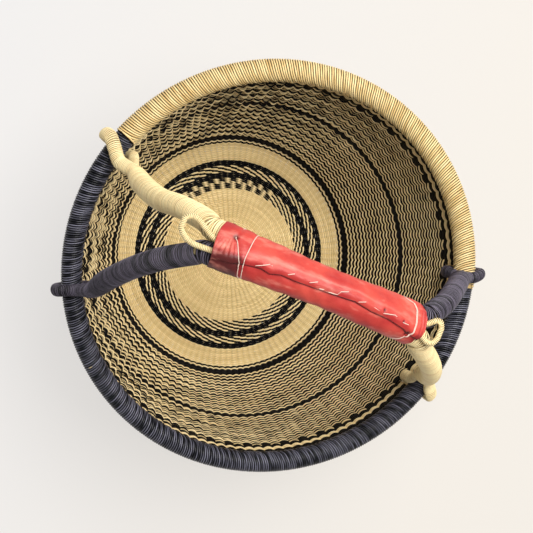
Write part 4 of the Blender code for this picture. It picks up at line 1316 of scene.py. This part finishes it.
@dataclass
class Arm:
    """One end of a handle, from a mouth of the grip down to its eye.

    It leaves the grip at its end, -1 or 1, as the handle that lies over, 1, or under, -1. Its neck stands over the
    rim at an angle and leans in, and its eye is round the rim at an angle of its own. The bow has points on the way
    to the neck: the share of the way and the shares of its length that the arm goes sideways and outward. The legs
    of an arm with a reach part that far from the rim's middle; the legs of the others part just over the rim.
    """

    name: str
    grip: Grip
    basket: BasketSizes
    end: int
    over: int
    angle: float
    eye_angle: float
    lean: float
    rim_radius: float
    bow: Sequence[tuple[float, float, float]]
    reach: float = 0.0

    BINDING_FROM = 0.55
    INSIDE = (0.010, 0.007, 0.003)
    STEPS = 60
    LENGTH_STEPS = 36
    FORK_STEPS = 4
    LEG_STEPS = 12
    SIDE_STEPS = 8
    UNDER_STEPS = 10
    NEAR = 0.01
    DRAWN_FROM = 0.84
    DRAWN_OVER = 0.24

    def __post_init__(self) -> None:
        """Works out the knots of the arm's line."""
        s, grip = self.grip.sizes, self.grip
        _, _, aside, _ = grip.core_section(self.end)
        centre, along, side, _ = grip.station(self.end)
        self.mouth = centre + side * (aside * self.over)
        rim, radial = self.basket.rim_place(self.angle)
        self.rim, self.radial = rim, radial
        self.eye_rim, self.eye_radial = self.basket.rim_place(self.eye_angle)
        self.tangent = np.array([-radial[1], radial[0], 0.0])
        self.axis = UP * math.cos(self.lean) - radial * math.sin(self.lean)
        # The CAD's handle origin is in the rim's plane, so its grip's height counts from there.
        self.neck = rim + self.axis * (self.reach or self.neck_reach() + grip.clearance)
        self.fork = rim + self.axis * self.fork_reach()
        lift = UP * self.basket.rim_plane
        self.mouth = self.mouth + lift
        spread = s.left_spread if self.end < 0 else s.right_spread
        lead = centre + lift + along * (self.end * s.spread_reach) - UP * s.spread_fall
        lead = lead - side * (self.end * self.over * spread)
        _, _, inside_aside, _ = grip.core_section(self.end * s.flatten_end)
        inside_centre, _, inside_side, _ = grip.station(self.end * s.flatten_end)
        span = lead - self.neck
        level = unit(np.array([span[0], span[1], 0.0]))
        sideways = np.array([-level[1], level[0], 0.0])
        outward = np.cross(unit(span), sideways)
        length = float(np.linalg.norm(span))
        middle = [
            self.neck + span * far + sideways * (length * aside_share) + outward * (length * out)
            for far, aside_share, out in self.bow
        ]
        self.knots = [inside_centre + lift + inside_side * (inside_aside * self.over), self.mouth, lead]
        self.knots += middle[::-1] + [self.neck, self.neck - self.axis * s.eye_leg]

    @property
    def dark(self) -> float:
        """How dyed its straw is: the handle that lies under is the navy one."""
        return 0.0 if self.over > 0 else 1.0

    def neck_reach(self) -> float:
        """How far from the rim's centre the eye's legs end inside the binding."""
        s = self.grip.sizes
        return self.rim_radius + self.basket.eye_clearance + s.crotch + s.eye_leg

    def fork_reach(self) -> float:
        """How far from the rim's centre the legs part."""
        return self.reach or self.neck_reach() - self.grip.sizes.eye_leg

    def point(self, share: float) -> Array:
        """A point of the smooth curve through the knots: 0 at the mouth and 1 at the neck."""
        spans = len(self.knots) - 3
        at = min(max(share, 0), 1) * spans
        index = min(int(at), spans - 1)
        t = at - index
        a, b, c, d = self.knots[index:index + 4]
        return (b * 2 + (c - a) * t + (a * 2 - b * 5 + c * 4 - d) * (t * t) + (b * 3 - a - c * 3 + d) * t**3) / 2

    def length(self) -> float:
        """Length of the arm's line."""
        points = np.array([self.point(step / self.LENGTH_STEPS) for step in range(self.LENGTH_STEPS + 1)])
        return float(np.linalg.norm(np.diff(points, axis=0), axis=1).sum())

    def frame(self, share: float) -> tuple[Array, Array, Array]:
        """Centre, across and upward vectors at a share of the length."""
        s = self.grip.sizes
        _, grip_along, side, _ = self.grip.station(self.end)
        before, after = max(share - self.NEAR, 0), min(share + self.NEAR, 1)
        turned = float(eased((share - s.neck_turn) / (1 - s.neck_turn)))
        along = unit(self.point(after) - self.point(before))
        along = unit(blend(grip_along * self.end, along, float(eased(share / s.mouth_turn))))
        along = unit(blend(along, -self.axis, turned))
        across = unit(side - along * float(side @ along))
        round_rim = self.tangent if float(self.tangent @ across) > 0 else -self.tangent
        across = blend(across, round_rim, turned)
        across = unit(across - along * float(across @ along))
        return self.point(share), across, np.cross(across, along) * -self.end

    def route(self) -> Route:
        """The arm's line with the outer size of its binding, from inside the mouth down to the fork."""
        s = self.grip.sizes
        length = self.length()
        first = s.binding_start * self.BINDING_FROM / length
        places = []
        mouth_width, mouth_height, _, _ = self.grip.core_section(self.end)
        _, grip_along, _, _ = self.grip.station(self.end)
        wrap = s.mouth_wrap + self.grip.clearance
        for inside in self.INSIDE:
            centre, across, upward = self.frame(first)
            centre = centre - grip_along * (self.end * inside)
            places.append((centre, across, upward, mouth_width + wrap, mouth_height + wrap))
        deep = 2 * self.basket.eye_half_depth + s.neck_wrap
        slim = self.basket.eye_half_width + s.neck_wrap
        for step in range(self.STEPS + 1):
            share = blend(first, 1.0, step / self.STEPS)
            round_off = float(eased(share * length / s.round_off))
            taper = float(eased((share * length - s.binding_start) / s.taper))
            wrap = blend(s.mouth_wrap, s.wrap, taper) + self.grip.clearance
            drawn = float(eased((step / self.STEPS - self.DRAWN_FROM) / self.DRAWN_OVER))
            width = blend(blend(mouth_width, s.core_radius, round_off) + wrap, slim, drawn)
            height = blend(blend(mouth_height, s.core_radius, round_off) + wrap, deep, drawn)
            places.append((*self.frame(share), width, height))
        if not self.reach:
            _, across, upward, width, height = places[-1]
            for far in np.arange(1, self.FORK_STEPS + 1) / self.FORK_STEPS:
                centre = blend(self.neck, self.fork, far)
                places.append((centre, across, upward, blend(width, slim, far), blend(height, deep, far)))
        return Route(*(np.array(values) for values in zip(*places)))

    def eye_route(self) -> Route:
        """The eye's line: down the outer leg, round the rim and up the inner leg."""
        s, basket, grip = self.grip.sizes, self.basket, self.grip
        ring = self.rim_radius + basket.eye_clearance + basket.eye_half_depth
        neck = math.pi / 2 + self.lean
        axis = np.array([math.cos(neck), math.sin(neck)])
        aside = np.array([-axis[1], axis[0]])
        apart = basket.eye_half_depth + grip.clearance / 2
        fork = axis * self.fork_reach()
        low = np.array([0.0, -basket.lift])
        splay, wide = (s.natural_splay, s.natural_apart) if self.reach else (s.navy_splay, 1.0)

        def on_ring(angle: float) -> Array:
            """A point of the circle round the rim."""
            return np.array([math.cos(angle), math.sin(angle)]) * ring

        def forward(angle: float) -> Array:
            """The direction of travel there."""
            return np.array([math.sin(angle), -math.cos(angle)])

        outer, inner = neck - splay, neck + splay
        pull = ring * s.eye_pull
        drop = axis * (pull * s.crotch_pull)
        first, last = fork - aside * (apart * wide), fork + aside * apart
        line = [first + axis * s.leg_end]
        onto, off = on_ring(outer), on_ring(inner)
        line += bezier(first, first - drop, onto - forward(outer) * pull, onto, self.LEG_STEPS)
        line += [on_ring(a) for a in np.linspace(outer, 0, self.SIDE_STEPS)[1:]]
        line += [low + on_ring(a) for a in np.linspace(0, -math.pi / 2, self.UNDER_STEPS)]
        turned = len(line)
        line += [low + on_ring(a) for a in np.linspace(-math.pi / 2, -math.pi, self.UNDER_STEPS)[1:]]
        line += [on_ring(a) for a in np.linspace(math.pi, inner, self.SIDE_STEPS)[:-1]]
        line += bezier(off, off + forward(inner) * pull, last - drop, last, self.LEG_STEPS)
        line += [last + axis * s.leg_end]
        flat = np.array(line)
        climb = np.clip(flat @ axis / self.fork_reach(), 0, 1)
        # The outer leg keeps to the handle's line until it is over the rim; the inner leg leaves it at once.
        climb = np.where(np.arange(len(flat)) < turned, eased(climb * 1.5), eased((climb - 0.3) / 0.7))[:, None]
        radial = unit(blend(self.eye_radial, self.radial, climb))
        centre = blend(self.eye_rim, self.rim, climb) + radial * flat[:, :1] + UP * flat[:, 1:]
        along = unit(np.gradient(centre, axis=0))
        normal = unit(np.cross(along, np.cross(UP, radial)))
        count = len(flat)
        half_width, half_depth = np.full(count, basket.eye_half_width), np.full(count, basket.eye_half_depth)
        if self.reach:
            # The outer leg widens from the rim up, where the straws of the arm spread into it.
            half_width[:turned] *= 1.0 + s.natural_swell * eased((turned - 6 - np.arange(turned)) / 8)
        return Route(centre, np.cross(normal, along), normal, half_width, half_depth)


@dataclass
class Handles:
    """The two bound handles with their eyes."""

    basket: BasketSizes
    grip: Grip
    finishes: Finishes
    arms: list[Arm] = field(default_factory=list)

    def __post_init__(self) -> None:
        """Lays out the four arms: each bow's shares, and the angles of neck, eye and lean in degrees."""
        wide, slim = self.basket.natural_radius, self.basket.navy_radius
        high = ((0.24, -0.035, 0.02), (0.55, -0.050, 0.045), (0.80, -0.020, 0.045))
        low = ((0.22, 0.0, 0.055), (0.52, 0.0, 0.075), (0.80, 0.0, 0.050))
        bowed = ((0.24, 0.030, 0.02), (0.55, 0.048, 0.045), (0.80, 0.040, 0.045))
        short = ((0.24, 0.0, 0.015), (0.55, 0.0, 0.030), (0.80, 0.0, 0.030))
        plan = (
            ("left_natural", -1, 1, (164.0, 159.4, 39), wide, high, 0.0385),
            ("right_natural", 1, 1, (-16.8, -19.2, 26), slim, low, 0.0385),
            ("left_navy", -1, -1, (204.4, 204.4, 25), slim, bowed, 0.0),
            ("right_navy", 1, -1, (15.2, 16.2, 25), wide, short, 0.0),
        )
        for name, end, over, degrees, rim_radius, bow, reach in plan:
            angles = (math.radians(angle) for angle in degrees)
            self.arms.append(Arm(name, self.grip, self.basket, end, over, *angles, rim_radius, bow, reach))

    def build(self) -> None:
        """Winds the arms and the eyes, and dresses the grass inside."""
        for index, arm in enumerate(self.arms):
            material = self.finishes["plum" if arm.dark else "arm"]
            slot = Slot.NAVY if arm.dark else Slot.NATURAL
            binding = Straws(f"{arm.name}_arm", 4)
            pitch, slant = (0.0022, 0.0044) if arm.dark else (0.0019, 0.0030)
            winding = Winding(
                pitch=pitch, half_width=0.60 * pitch, half_depth=0.0006, steps=20, skew=slant, wobble=0.0004,
                seed=11 + index, tone_span=0.45,
            )
            winding.add(binding, arm.route(), arm.dark)
            binding.build(material, HANDLE, slot, (f"{arm.name}_binding",))
            eye = Straws(f"{arm.name}_loop_eye", 4)
            winding = Winding(
                pitch=0.0018, half_width=0.0010, half_depth=0.0006, steps=16, skew=0.0010, wobble=0.0002,
                seed=21 + index, tone_span=0.45,
            )
            winding.add(eye, arm.eye_route(), arm.dark)
            eye.build(material, HANDLE, slot, (f"{arm.name}_eye",))
        for over, name in ((1, "natural_handle"), (-1, "navy_handle")):
            self.core(over, name)

    def core(self, over: int, name: str) -> None:
        """The grass inside one handle: two arms joined by the length that turns inside the grip."""
        grass = Straws(f"{name}_grass", 16)
        within = self.grip.sizes.wrap + self.grip.clearance
        for arm in self.arms:
            if arm.over == over:
                route = arm.route()
                half_sizes = route.half_across - within, route.half_outward - within
                grass.add(route.centre, route.across, route.outward, *half_sizes)
        share = np.linspace(-0.93, 0.93, 61)
        centre, _, side, upward = self.grip.station(share)
        width, height, aside, rise = np.array([self.grip.core_section(float(at)) for at in share]).T
        centre = centre + side * (aside * over)[:, None] + upward * (rise * over)[:, None]
        centre = centre + UP * self.basket.rim_plane
        grass.add(centre, side, upward, width - 0.0006, height - 0.0006)
        grass.build(self.finishes["grass"], HANDLE, Slot.GRASS, (f"{name}_core",))


@dataclass(frozen=True)
class HideSizes:
    """How the hide, its thread and its ties lie: shares of the grip's half length and degrees round it.

    A stitch has both of its ends, and a hole its place and its radius in metres. The outer tie runs under the hide
    between two angles, and the right one is doubled.
    """

    first: float = -0.945
    about_last: float = 0.93
    last: tuple[tuple[float, float], ...] = (
        (0.85, 0), (0.872, 20), (0.923, 45), (0.943, 67), (0.935, 103), (0.90, 133), (0.90, 180), (0.89, 270),
        (0.86, 340),
    )
    seam: tuple[tuple[float, float], ...] = (
        (-0.96, 128), (-0.82, 121), (-0.66, 111), (-0.54, 106), (-0.47, 111), (-0.38, 103), (-0.26, 104.5),
        (-0.13, 103.5), (0.115, 99.5), (0.26, 95.5), (0.415, 103), (0.575, 104), (0.75, 113), (0.81, 121), (0.95, 128),
    )
    stitches: tuple[tuple[float, float, float, float], ...] = (
        (-0.595, 104.5, -0.492, 89.5), (-0.335, 96, -0.285, 88), (-0.150, 94, -0.090, 85), (-0.06, 99, -0.02, 97),
        (0.018, 98.5, 0.095, 96), (0.115, 86, 0.175, 79), (0.278, 93.5, 0.340, 86), (0.512, 95, 0.617, 88.5),
        (0.700, 97.5, 0.770, 97.5),
    )
    holes: tuple[tuple[float, float, float], ...] = (
        (-0.815, 58, 0.0022), (0.515, 86.5, 0.0011), (0.712, 95, 0.0010), (0.792, 127, 0.0009), (0.80, 116, 0.0010),
    )
    pucker: tuple[float, float] = (-0.845, 59)
    # Where the painted highlight on the puckers lies.
    rubbed: tuple[float, float] = (-0.85, 84)
    outer_tie: tuple[tuple[float, float], ...] = (
        (-0.80, 40), (-0.815, 59), (-0.792, 67.5), (-0.718, 111.5), (-0.698, 156), (-0.680, 180), (-0.70, 270),
        (-0.77, 340),
    )
    outer_under: tuple[float, float] = (10, 57)
    inner_tie: tuple[tuple[float, float], ...] = (
        (-0.655, 2), (-0.677, 49.5), (-0.688, 97.5), (-0.665, 161), (-0.65, 270),
    )
    right_tie: tuple[tuple[float, float], ...] = (
        (0.735, 18), (0.800, 30), (0.828, 54), (0.833, 79), (0.838, 111), (0.820, 124), (0.79, 152), (0.755, 180),
        (0.73, 270),
    )
    right_double: float = 0.020

    def seam_at(self, share: Any) -> Array:
        """The angle of the hide's outer edge in radians."""
        shares, degrees = np.array(self.seam).T
        return np.radians(np.interp(share, shares, degrees))

    @staticmethod
    def tie_at(tie: Sequence[tuple[float, float]], angle: Array) -> Array:
        """The share at which a tie passes each angle."""
        shares, degrees = np.array(tie).T
        return np.interp(np.degrees(angle) % 360, degrees, shares, period=360)


@dataclass
class LeatherGrip:
    """The rolled and laced leather with its thread, its ties and the cord loops at its mouths."""

    basket: BasketSizes
    grip: Grip
    finishes: Finishes
    hide: HideSizes = HideSizes()

    WAVE, RIPPLE = 0.00022, 0.00018
    LIP, EDGE, DENT, WAIST = 0.0008, 0.0009, 0.0011, 0.0006
    FOLD, FOLD_REACH, FOLD_PITCH = 0.0013, 0.0062, 0.0036
    GROOVE, GROOVE_WIDTH = 0.0006, 0.0022
    CREASE, CREASE_PITCH, CREASED_FROM = 0.0004, 0.0031, 0.86
    GRID = (230, 150)
    END_WAVE = 0.008
    # Darkening painted on the hide: a darker band on the lip and at the ends, and painted shade on the lower face, on
    # the lower flank of the left end and in the holes.
    SEAM_DIRT, LAPPED_DIRT, END_DIRT, LOW_DIRT, HOLE_DIRT = 0.45, 0.34, 0.30, 0.40, 1.6
    # Painted highlights: a line along the lip and a patch on the puckers.
    EDGE_RUB, PATCH_RUB, PATCH_WIDTH = 0.30, 0.6, 0.0042
    CORD_STEPS = 180
    CORD_UNDER = 0.0016
    LOOPS = (("left", -1, 0.034, 0.0120, 0.0075), ("right", 1, 0.019, 0.0130, 0.0025))
    LOOP_STEPS = 14

    def skin(self, share: Array, angle: Array, offset: Array) -> Array:
        """Points round the grip, at an offset from the leather's inner face, in the basket's frame."""
        return self.grip.skin(share, angle, offset) + UP * self.basket.rim_plane

    def build(self) -> None:
        """Makes the leather and everything tied to it."""
        self.sleeve()
        self.thread()
        self.ties()
        self.loops()

    def away(self, share: Array, angle: Array, at: float, degrees: float) -> Array:
        """Distance over the hide from a place on it."""
        s = self.grip.sizes
        turned = (angle - math.radians(degrees) + math.pi) % math.tau - math.pi
        return np.hypot((share - at) * s.grip_length / 2, turned * s.half_width)

    def relief(self, share: Array, angle: Array) -> Array:
        """How far the hide's folds and dents stand off its plain roll."""
        hide, half = self.hide, self.grip.sizes.grip_length / 2
        along = share * half
        to_edge = np.degrees((hide.seam_at(share) - angle) % math.tau)
        soft = self.WAVE * np.sin(along * 190 + 2.3 * angle) * np.sin(3 * angle - along * 60 + 1.0)
        soft = soft + self.RIPPLE * np.sin(along * 420 - 5 * angle + 0.7)
        lip = self.LIP * bump(to_edge - 13, 7) - self.EDGE * bump(to_edge, 3.0)
        dent = -self.DENT * self.round_holes(share, angle)
        waist = -self.WAIST * bump(share + 0.58, 0.09)
        return soft + lip + dent + self.puckers(share, angle) + self.pulled(share, angle) + waist

    def round_holes(self, share: Array, angle: Array) -> Array:
        """1 in the middle of a hole, and less and less round it."""
        return sum(bump(self.away(share, angle, at, degrees), size) for at, degrees, size in self.hide.holes)

    def puckers(self, share: Array, angle: Array) -> Array:
        """The folds that fan out below the big hole, where a tie pulls the hide together."""
        at, degrees = self.hide.pucker
        below = np.degrees(angle) % 360 - degrees
        fan = (share - at) * self.grip.sizes.grip_length / 2 / (0.35 + 0.65 * np.clip(below / 35, 0, 1.5))
        strength = eased((below - 1) / 9) * (1 - eased((below - 28) / 26)) * bump(fan, self.FOLD_REACH)
        return self.FOLD * strength * np.cos(fan * math.tau / self.FOLD_PITCH)

    def pulled(self, share: Array, angle: Array) -> Array:
        """The grooves under the ties, and the creases in the hide's end beyond the right one."""
        hide, half = self.hide, self.grip.sizes.grip_length / 2
        past = [(share - hide.tie_at(tie, angle)) * half for tie in (hide.outer_tie, hide.inner_tie, hide.right_tie)]
        grooves = -self.GROOVE * sum(bump(distance, self.GROOVE_WIDTH) for distance in past)
        creased = eased((share - self.CREASED_FROM) / 0.02)
        return grooves + self.CREASE * creased * np.sin(past[-1] * math.tau / self.CREASE_PITCH)

    def wear(self, share: Array, angle: Array) -> tuple[Array, Array]:
        """How much darker and how much paler the hide is painted: painted shade in the seam's gap, on the lower face,
        on the lower flank of the left end and in the holes, darker bands at the lip and the ends, and painted
        highlights along the lip and on the puckers.
        """
        degrees = np.degrees(angle) % 360
        ahead = np.degrees((self.hide.seam_at(share) - angle) % math.tau)
        behind = 360 - ahead
        # A darker band on the lip before the edge, and painted shade in the gap at the edge.
        seam = self.SEAM_DIRT * bump(ahead - 9, 9) + bump(np.minimum(ahead, behind), 2.2)
        # Painted shade on the lower face, past the seam.
        lapped = self.LAPPED_DIRT * (behind < 100)
        # Darker at both ends.
        ends = self.END_DIRT * (eased((share - 0.86) / 0.03) + eased((-0.66 - share) / 0.03))
        # Painted shade on the lower flank of the left end.
        low_left = self.LOW_DIRT * eased((-0.69 - share) / 0.04) * eased((degrees - 88) / 14) * (degrees < 250)
        # Painted shade in the holes.
        deep = seam + lapped + ends + low_left + self.HOLE_DIRT * self.round_holes(share, angle)
        # A painted highlight line along the lip, and a painted highlight on the puckers.
        rub = self.EDGE_RUB * bump(ahead - 27, 2.2) * (np.abs(share) < 0.8)
        rub = rub + self.PATCH_RUB * bump(self.away(share, angle, *self.hide.rubbed), self.PATCH_WIDTH)
        return np.clip(deep, 0, 1), np.clip(rub, 0, 1)

    def sleeve(self) -> None:
        """The hide: a flat grid rolled round the handles, thickened and smoothed."""
        s, hide_sizes = self.grip.sizes, self.hide
        bpy.ops.object.select_all(action="DESELECT")
        bpy.ops.mesh.primitive_grid_add(x_subdivisions=self.GRID[0], y_subdivisions=self.GRID[1], size=2.0)
        hide = bpy.context.object
        hide.name = "leather_sleeve"
        flat = np.array([v.co for v in hide.data.vertices])
        turn = (flat[:, 1] + 1) / 2 * (math.tau + s.seam_overlap)
        share = blend(hide_sizes.first, hide_sizes.about_last, (flat[:, 0] + 1) / 2)
        angle = hide_sizes.seam_at(share) - s.seam_overlap + turn
        share = blend(hide_sizes.first, hide_sizes.tie_at(hide_sizes.last, angle), (flat[:, 0] + 1) / 2)
        share = share + self.END_WAVE * np.sin(3 * angle + 1.2) * np.abs(flat[:, 0]) ** 8
        offset = self.grip.flap_lift(turn) + s.leather / 2
        on_top = eased((turn - s.seam_overlap) / 0.05)
        points = self.skin(share, angle, offset + self.relief(share, angle) * on_top)
        hide.data.vertices.foreach_set("co", points.ravel())
        # The painted shade and darkening, and the painted highlights, for the leather's material.
        for name, values in zip(("deep", "rub"), self.wear(share, angle)):
            hide.data.attributes.new(name, "FLOAT", "POINT").data.foreach_set("value", values)
        hide.data.update()
        thick = hide.modifiers.new("thickness", "SOLIDIFY")
        thick.thickness = s.leather
        thick.offset = 0.0
        bpy.ops.object.modifier_apply(modifier=thick.name)
        bpy.ops.object.mode_set(mode="EDIT")
        bpy.ops.mesh.select_all(action="SELECT")
        bpy.ops.mesh.normals_make_consistent(inside=False)
        bpy.ops.object.mode_set(mode="OBJECT")
        hide.data.shade_smooth()
        hide.data.materials.append(self.finishes["leather"])
        place(hide, HANDLE, Slot.LEATHER, ("leather_grip",))

    def outer(self, share: Array, angle: Array) -> Array:
        """Height of the leather's outer face above its inner face."""
        s = self.grip.sizes
        past = (angle - self.hide.seam_at(share) + s.seam_overlap) % math.tau
        top = float(self.grip.flap_lift(np.array(math.tau)))
        step = (past - s.seam_overlap) / s.seam_step
        beyond = np.where(step < 1, top * (1 - eased(2 * step - 1)), self.grip.flap_lift(past))
        return s.leather + np.where(past < s.seam_overlap, top, beyond) + self.relief(share, angle)

    def strand(self, straws: Straws, share: Array, angle: Array, height: Any, closed: bool = False) -> None:
        """Lays a thread over the hide.

        Args:
            straws: The piece that it goes into.
            share: Its places along the grip.
            angle: Its places round the grip.
            height: How far its middle stands above the hide.
            closed: Whether its end runs into its start.
        """
        centre = self.skin(share, angle, self.outer(share, angle) + height)
        if closed:
            along = unit(np.roll(centre, -1, axis=0) - np.roll(centre, 1, axis=0))
        else:
            along = unit(np.gradient(centre, axis=0))
        out = centre - self.skin(share, angle, np.full(len(share), -0.008))
        across = unit(np.cross(along, unit(out)))
        radius = self.grip.sizes.cord_radius
        straws.add(centre, across, np.cross(across, along), radius, radius, closed=closed)

    def thread(self) -> None:
        """The lacing of the seam: stitches that show, joined inside the hide."""
        lacing = Straws("seam_thread", 6)
        shares, angles, heights = [], [], []
        t = np.linspace(0, 1, 14)
        for start, first, end, last in self.hide.stitches:
            shares.append(blend(start, end, t))
            angles.append(np.radians(blend(first, last, t)))
            heights.append(-0.0004 + 0.0008 * np.sin(math.pi * t) ** 0.5)
        joined = [np.concatenate(values) for values in (shares, angles, heights)]
        self.strand(lacing, *joined)
        lacing.build(self.finishes["thread"], HANDLE, Slot.THREAD, ("seam_lacing",))

    def ties(self) -> None:
        """The three cords tied round the grip, one of them through a hole and one doubled."""
        hide = self.hide
        height = self.grip.sizes.cord_height
        angle = math.tau * np.arange(self.CORD_STEPS) / self.CORD_STEPS
        degrees = np.degrees(angle)
        for name, tie in (("left_outer", hide.outer_tie), ("left_inner", hide.inner_tie), ("right", hide.right_tie)):
            cord = Straws(f"{name}_cord", 6)
            share, sunk = hide.tie_at(tie, angle), np.zeros(len(angle))
            if tie is hide.outer_tie:
                start, end = hide.outer_under
                sunk = eased((degrees - start) / 5) * eased((end - degrees) / 5)
            self.strand(cord, share, angle, height - self.CORD_UNDER * sunk, True)
            if tie is hide.right_tie:
                beside = share - hide.right_double * (0.75 + 0.25 * np.sin(2 * angle)) / 2
                self.strand(cord, beside, angle, height + 0.0002 * np.sin(3 * angle), True)
            cord.build(self.finishes["thread"], HANDLE, Slot.THREAD, (f"{name}_tie",))

    def loops(self) -> None:
        """The two bound cords that stick out of the mouths."""
        for name, end, *shape in self.LOOPS:
            straws = Straws(f"{name}_cord_loop", 4)
            winding = Winding(
                pitch=0.0014, half_width=0.0008, half_depth=0.00035, steps=12, skew=0.0004, wobble=0.0001,
                seed=31 + end,
            )
            winding.add(straws, self.loop_route(end, *shape), 0.0)
            straws.build(self.finishes["arm"], HANDLE, Slot.NATURAL, (f"{name}_grip_loop",))

    def loop_route(self, end: int, reach: float, half_width: float, sway: float) -> Route:
        """The line of a cord loop, from inside the mouth out and back.

        Args:
            end: The end of the grip, -1 or 1.
            reach: How far it sticks out.
            half_width: Half its width.
            sway: How far its tip lies to the side.

        Returns:
            The line with the cord's outer size.
        """
        s, grip = self.grip.sizes, self.grip
        lift = UP * self.basket.rim_plane
        centre, along, side, upward = grip.station(end * s.loop_start)
        outward = unit(along * (end * reach) + UP * s.loop_rise)
        height = grip.mouth_core_height() + grip.clearance + s.loop_cord
        middle = centre + lift + upward * height - side * s.loop_offset
        inside_centre, _, inside_side, inside_up = grip.station(s.loop_tail * end)
        inside = inside_centre + lift + inside_up * height - inside_side * s.loop_offset
        legs = [middle + side * (s.loop_leg * sign) for sign in (1, -1)]
        tails = [inside + inside_side * (s.loop_leg * sign) for sign in (1, -1)]
        far = reach - s.loop_cord
        tip = middle + outward * far + side * sway
        leg_pull, tip_pull = outward * (far * 0.35), outward * (far * 0.25)
        bend, flat = side * (half_width * 1.35), side * (half_width * 0.35)

        out = bezier(legs[0], legs[0] + leg_pull, tip + bend - tip_pull, tip + flat, self.LOOP_STEPS)
        back = bezier(tip - flat, tip - bend - tip_pull, legs[1] + leg_pull, legs[1], self.LOOP_STEPS)
        points = np.array([tails[0], *out, *back, tails[1]])
        direction = unit(np.gradient(points, axis=0))
        across = unit(np.cross(np.broadcast_to(upward, direction.shape), direction))
        size = np.full(len(points), s.loop_cord)
        return Route(points, across, np.cross(direction, across), size, size)


# ---------------------------------------------------------------------------
# Studio


@dataclass
class Studio:
    """The pale floor, the soft lamps and the camera."""

    tilt: float = math.radians(12.8)
    turn: float = math.radians(181)
    roll: float = math.radians(18)
    distance: float = 1.3
    lens: float = 90.44
    sensor: float = 36.0
    sheet_size: float = 8.0
    sheet_height: float = -0.0005
    paper: tuple[float, float, float] = (0.84, 0.82, 0.79)
    paper_left: tuple[float, float, float] = (0.83, 0.82, 0.82)
    paper_right: tuple[float, float, float] = (0.87, 0.82, 0.75)
    paper_roughness: float = 0.9
    paper_shine: float = 0.1
    tint_slope: float = 1.6
    evenness: float = 0.80
    lamp_place: tuple[float, float, float] = (0.12, 0.72, 2.15)
    lamp_size: float = 1.5
    lamp_power: float = 70.0
    lamp_colour: tuple[float, float, float] = (1.0, 0.975, 0.94)
    sky: float = 0.30
    sky_colour: tuple[float, float, float] = (1.0, 0.99, 0.98)

    def build(self, target: Vector) -> None:
        """Sets everything up round a target."""
        self.floor()
        self.lamps(target)
        self.camera(target)
        bpy.context.scene.view_settings.view_transform = "Standard"

    def floor(self) -> None:
        """A wide pale sheet under the basket, which the camera sees a little evened out."""
        bpy.ops.object.select_all(action="DESELECT")
        bpy.ops.mesh.primitive_plane_add(size=self.sheet_size, location=(0, 0, self.sheet_height))
        sheet = bpy.context.object
        sheet.name = "studio_floor"
        paint = Paint("studio_paper")
        paint.dress(self.paper, self.paper_roughness)
        paint.shader.inputs["Specular IOR Level"].default_value = self.paper_shine
        place_on = paint.node("ShaderNodeSeparateXYZ", {}, {"Vector": paint.object_place()}, "X")
        tint = paint.mix((place_on * self.tint_slope + 0.5).held(), self.paper_left, self.paper_right)
        glow = paint.node("ShaderNodeEmission", {}, {"Color": tint, "Strength": 1.0})
        kinds = ("Camera", "Glossy", "Transmission")
        rays = [paint.node("ShaderNodeLightPath", {}, {}, f"Is {kind} Ray") for kind in kinds]
        seen = (rays[0] + rays[1] + rays[2]).held() * self.evenness
        even = paint.node("ShaderNodeMixShader", {}, {0: seen, 1: Shade(paint, paint.shader.outputs[0]), 2: glow})
        paint.tree.links.new(even.socket, paint.tree.nodes["Material Output"].inputs["Surface"])
        sheet.data.materials.append(paint.material)

    def lamps(self, target: Vector) -> None:
        """One broad lamp overhead, towards the top of the picture, and an even sky."""
        bpy.ops.object.light_add(type="AREA", location=self.lamp_place)
        lamp = bpy.context.object
        lamp.name = "key_lamp"
        lamp.data.size = self.lamp_size
        lamp.data.energy = self.lamp_power
        lamp.data.color = self.lamp_colour
        aim = (target - Vector(self.lamp_place)).to_track_quat("-Z", "Y")
        lamp.rotation_euler = aim.to_euler()
        world = bpy.data.worlds.new("studio_sky")
        world.use_nodes = True
        background = world.node_tree.nodes["Background"].inputs
        background["Color"].default_value = (*self.sky_colour, 1.0)
        background["Strength"].default_value = self.sky
        bpy.context.scene.world = world

    def camera(self, target: Vector) -> None:
        """The camera at the photograph's viewing angle."""
        tilt, turn = self.tilt, self.turn
        back = Vector((math.sin(tilt) * math.cos(turn), math.sin(tilt) * math.sin(turn), math.cos(tilt)))
        right = Vector((math.cos(self.roll), math.sin(self.roll), 0))
        up = back.cross(right).normalized()
        right = up.cross(back)
        bpy.ops.object.camera_add()
        eye = bpy.context.object
        eye.name = "photo_camera"
        eye.data.lens = self.lens
        eye.data.sensor_width = self.sensor
        turned = Matrix((right, up, back)).transposed().to_4x4()
        eye.matrix_world = Matrix.Translation(target + back * self.distance) @ turned
        bpy.context.scene.camera = eye


def main() -> None:
    """Builds the basket and its studio."""
    logging.basicConfig(level=logging.INFO, format="%(message)s")
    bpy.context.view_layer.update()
    sizes = BasketSizes()
    face = Face(sizes)
    finishes = Finishes()
    grip = Grip(HandleSizes(), sizes.clearance)
    handles = Handles(sizes, grip, finishes)
    WovenBody(sizes, face, finishes, [arm.eye_angle for arm in handles.arms]).build()
    BoundRim(sizes, finishes).build()
    handles.build()
    LeatherGrip(sizes, grip, finishes).build()
    Studio().build(Vector((0, 0, sizes.rim_plane)))
    bpy.context.view_layer.update()


if __name__ == "__main__":
    main()
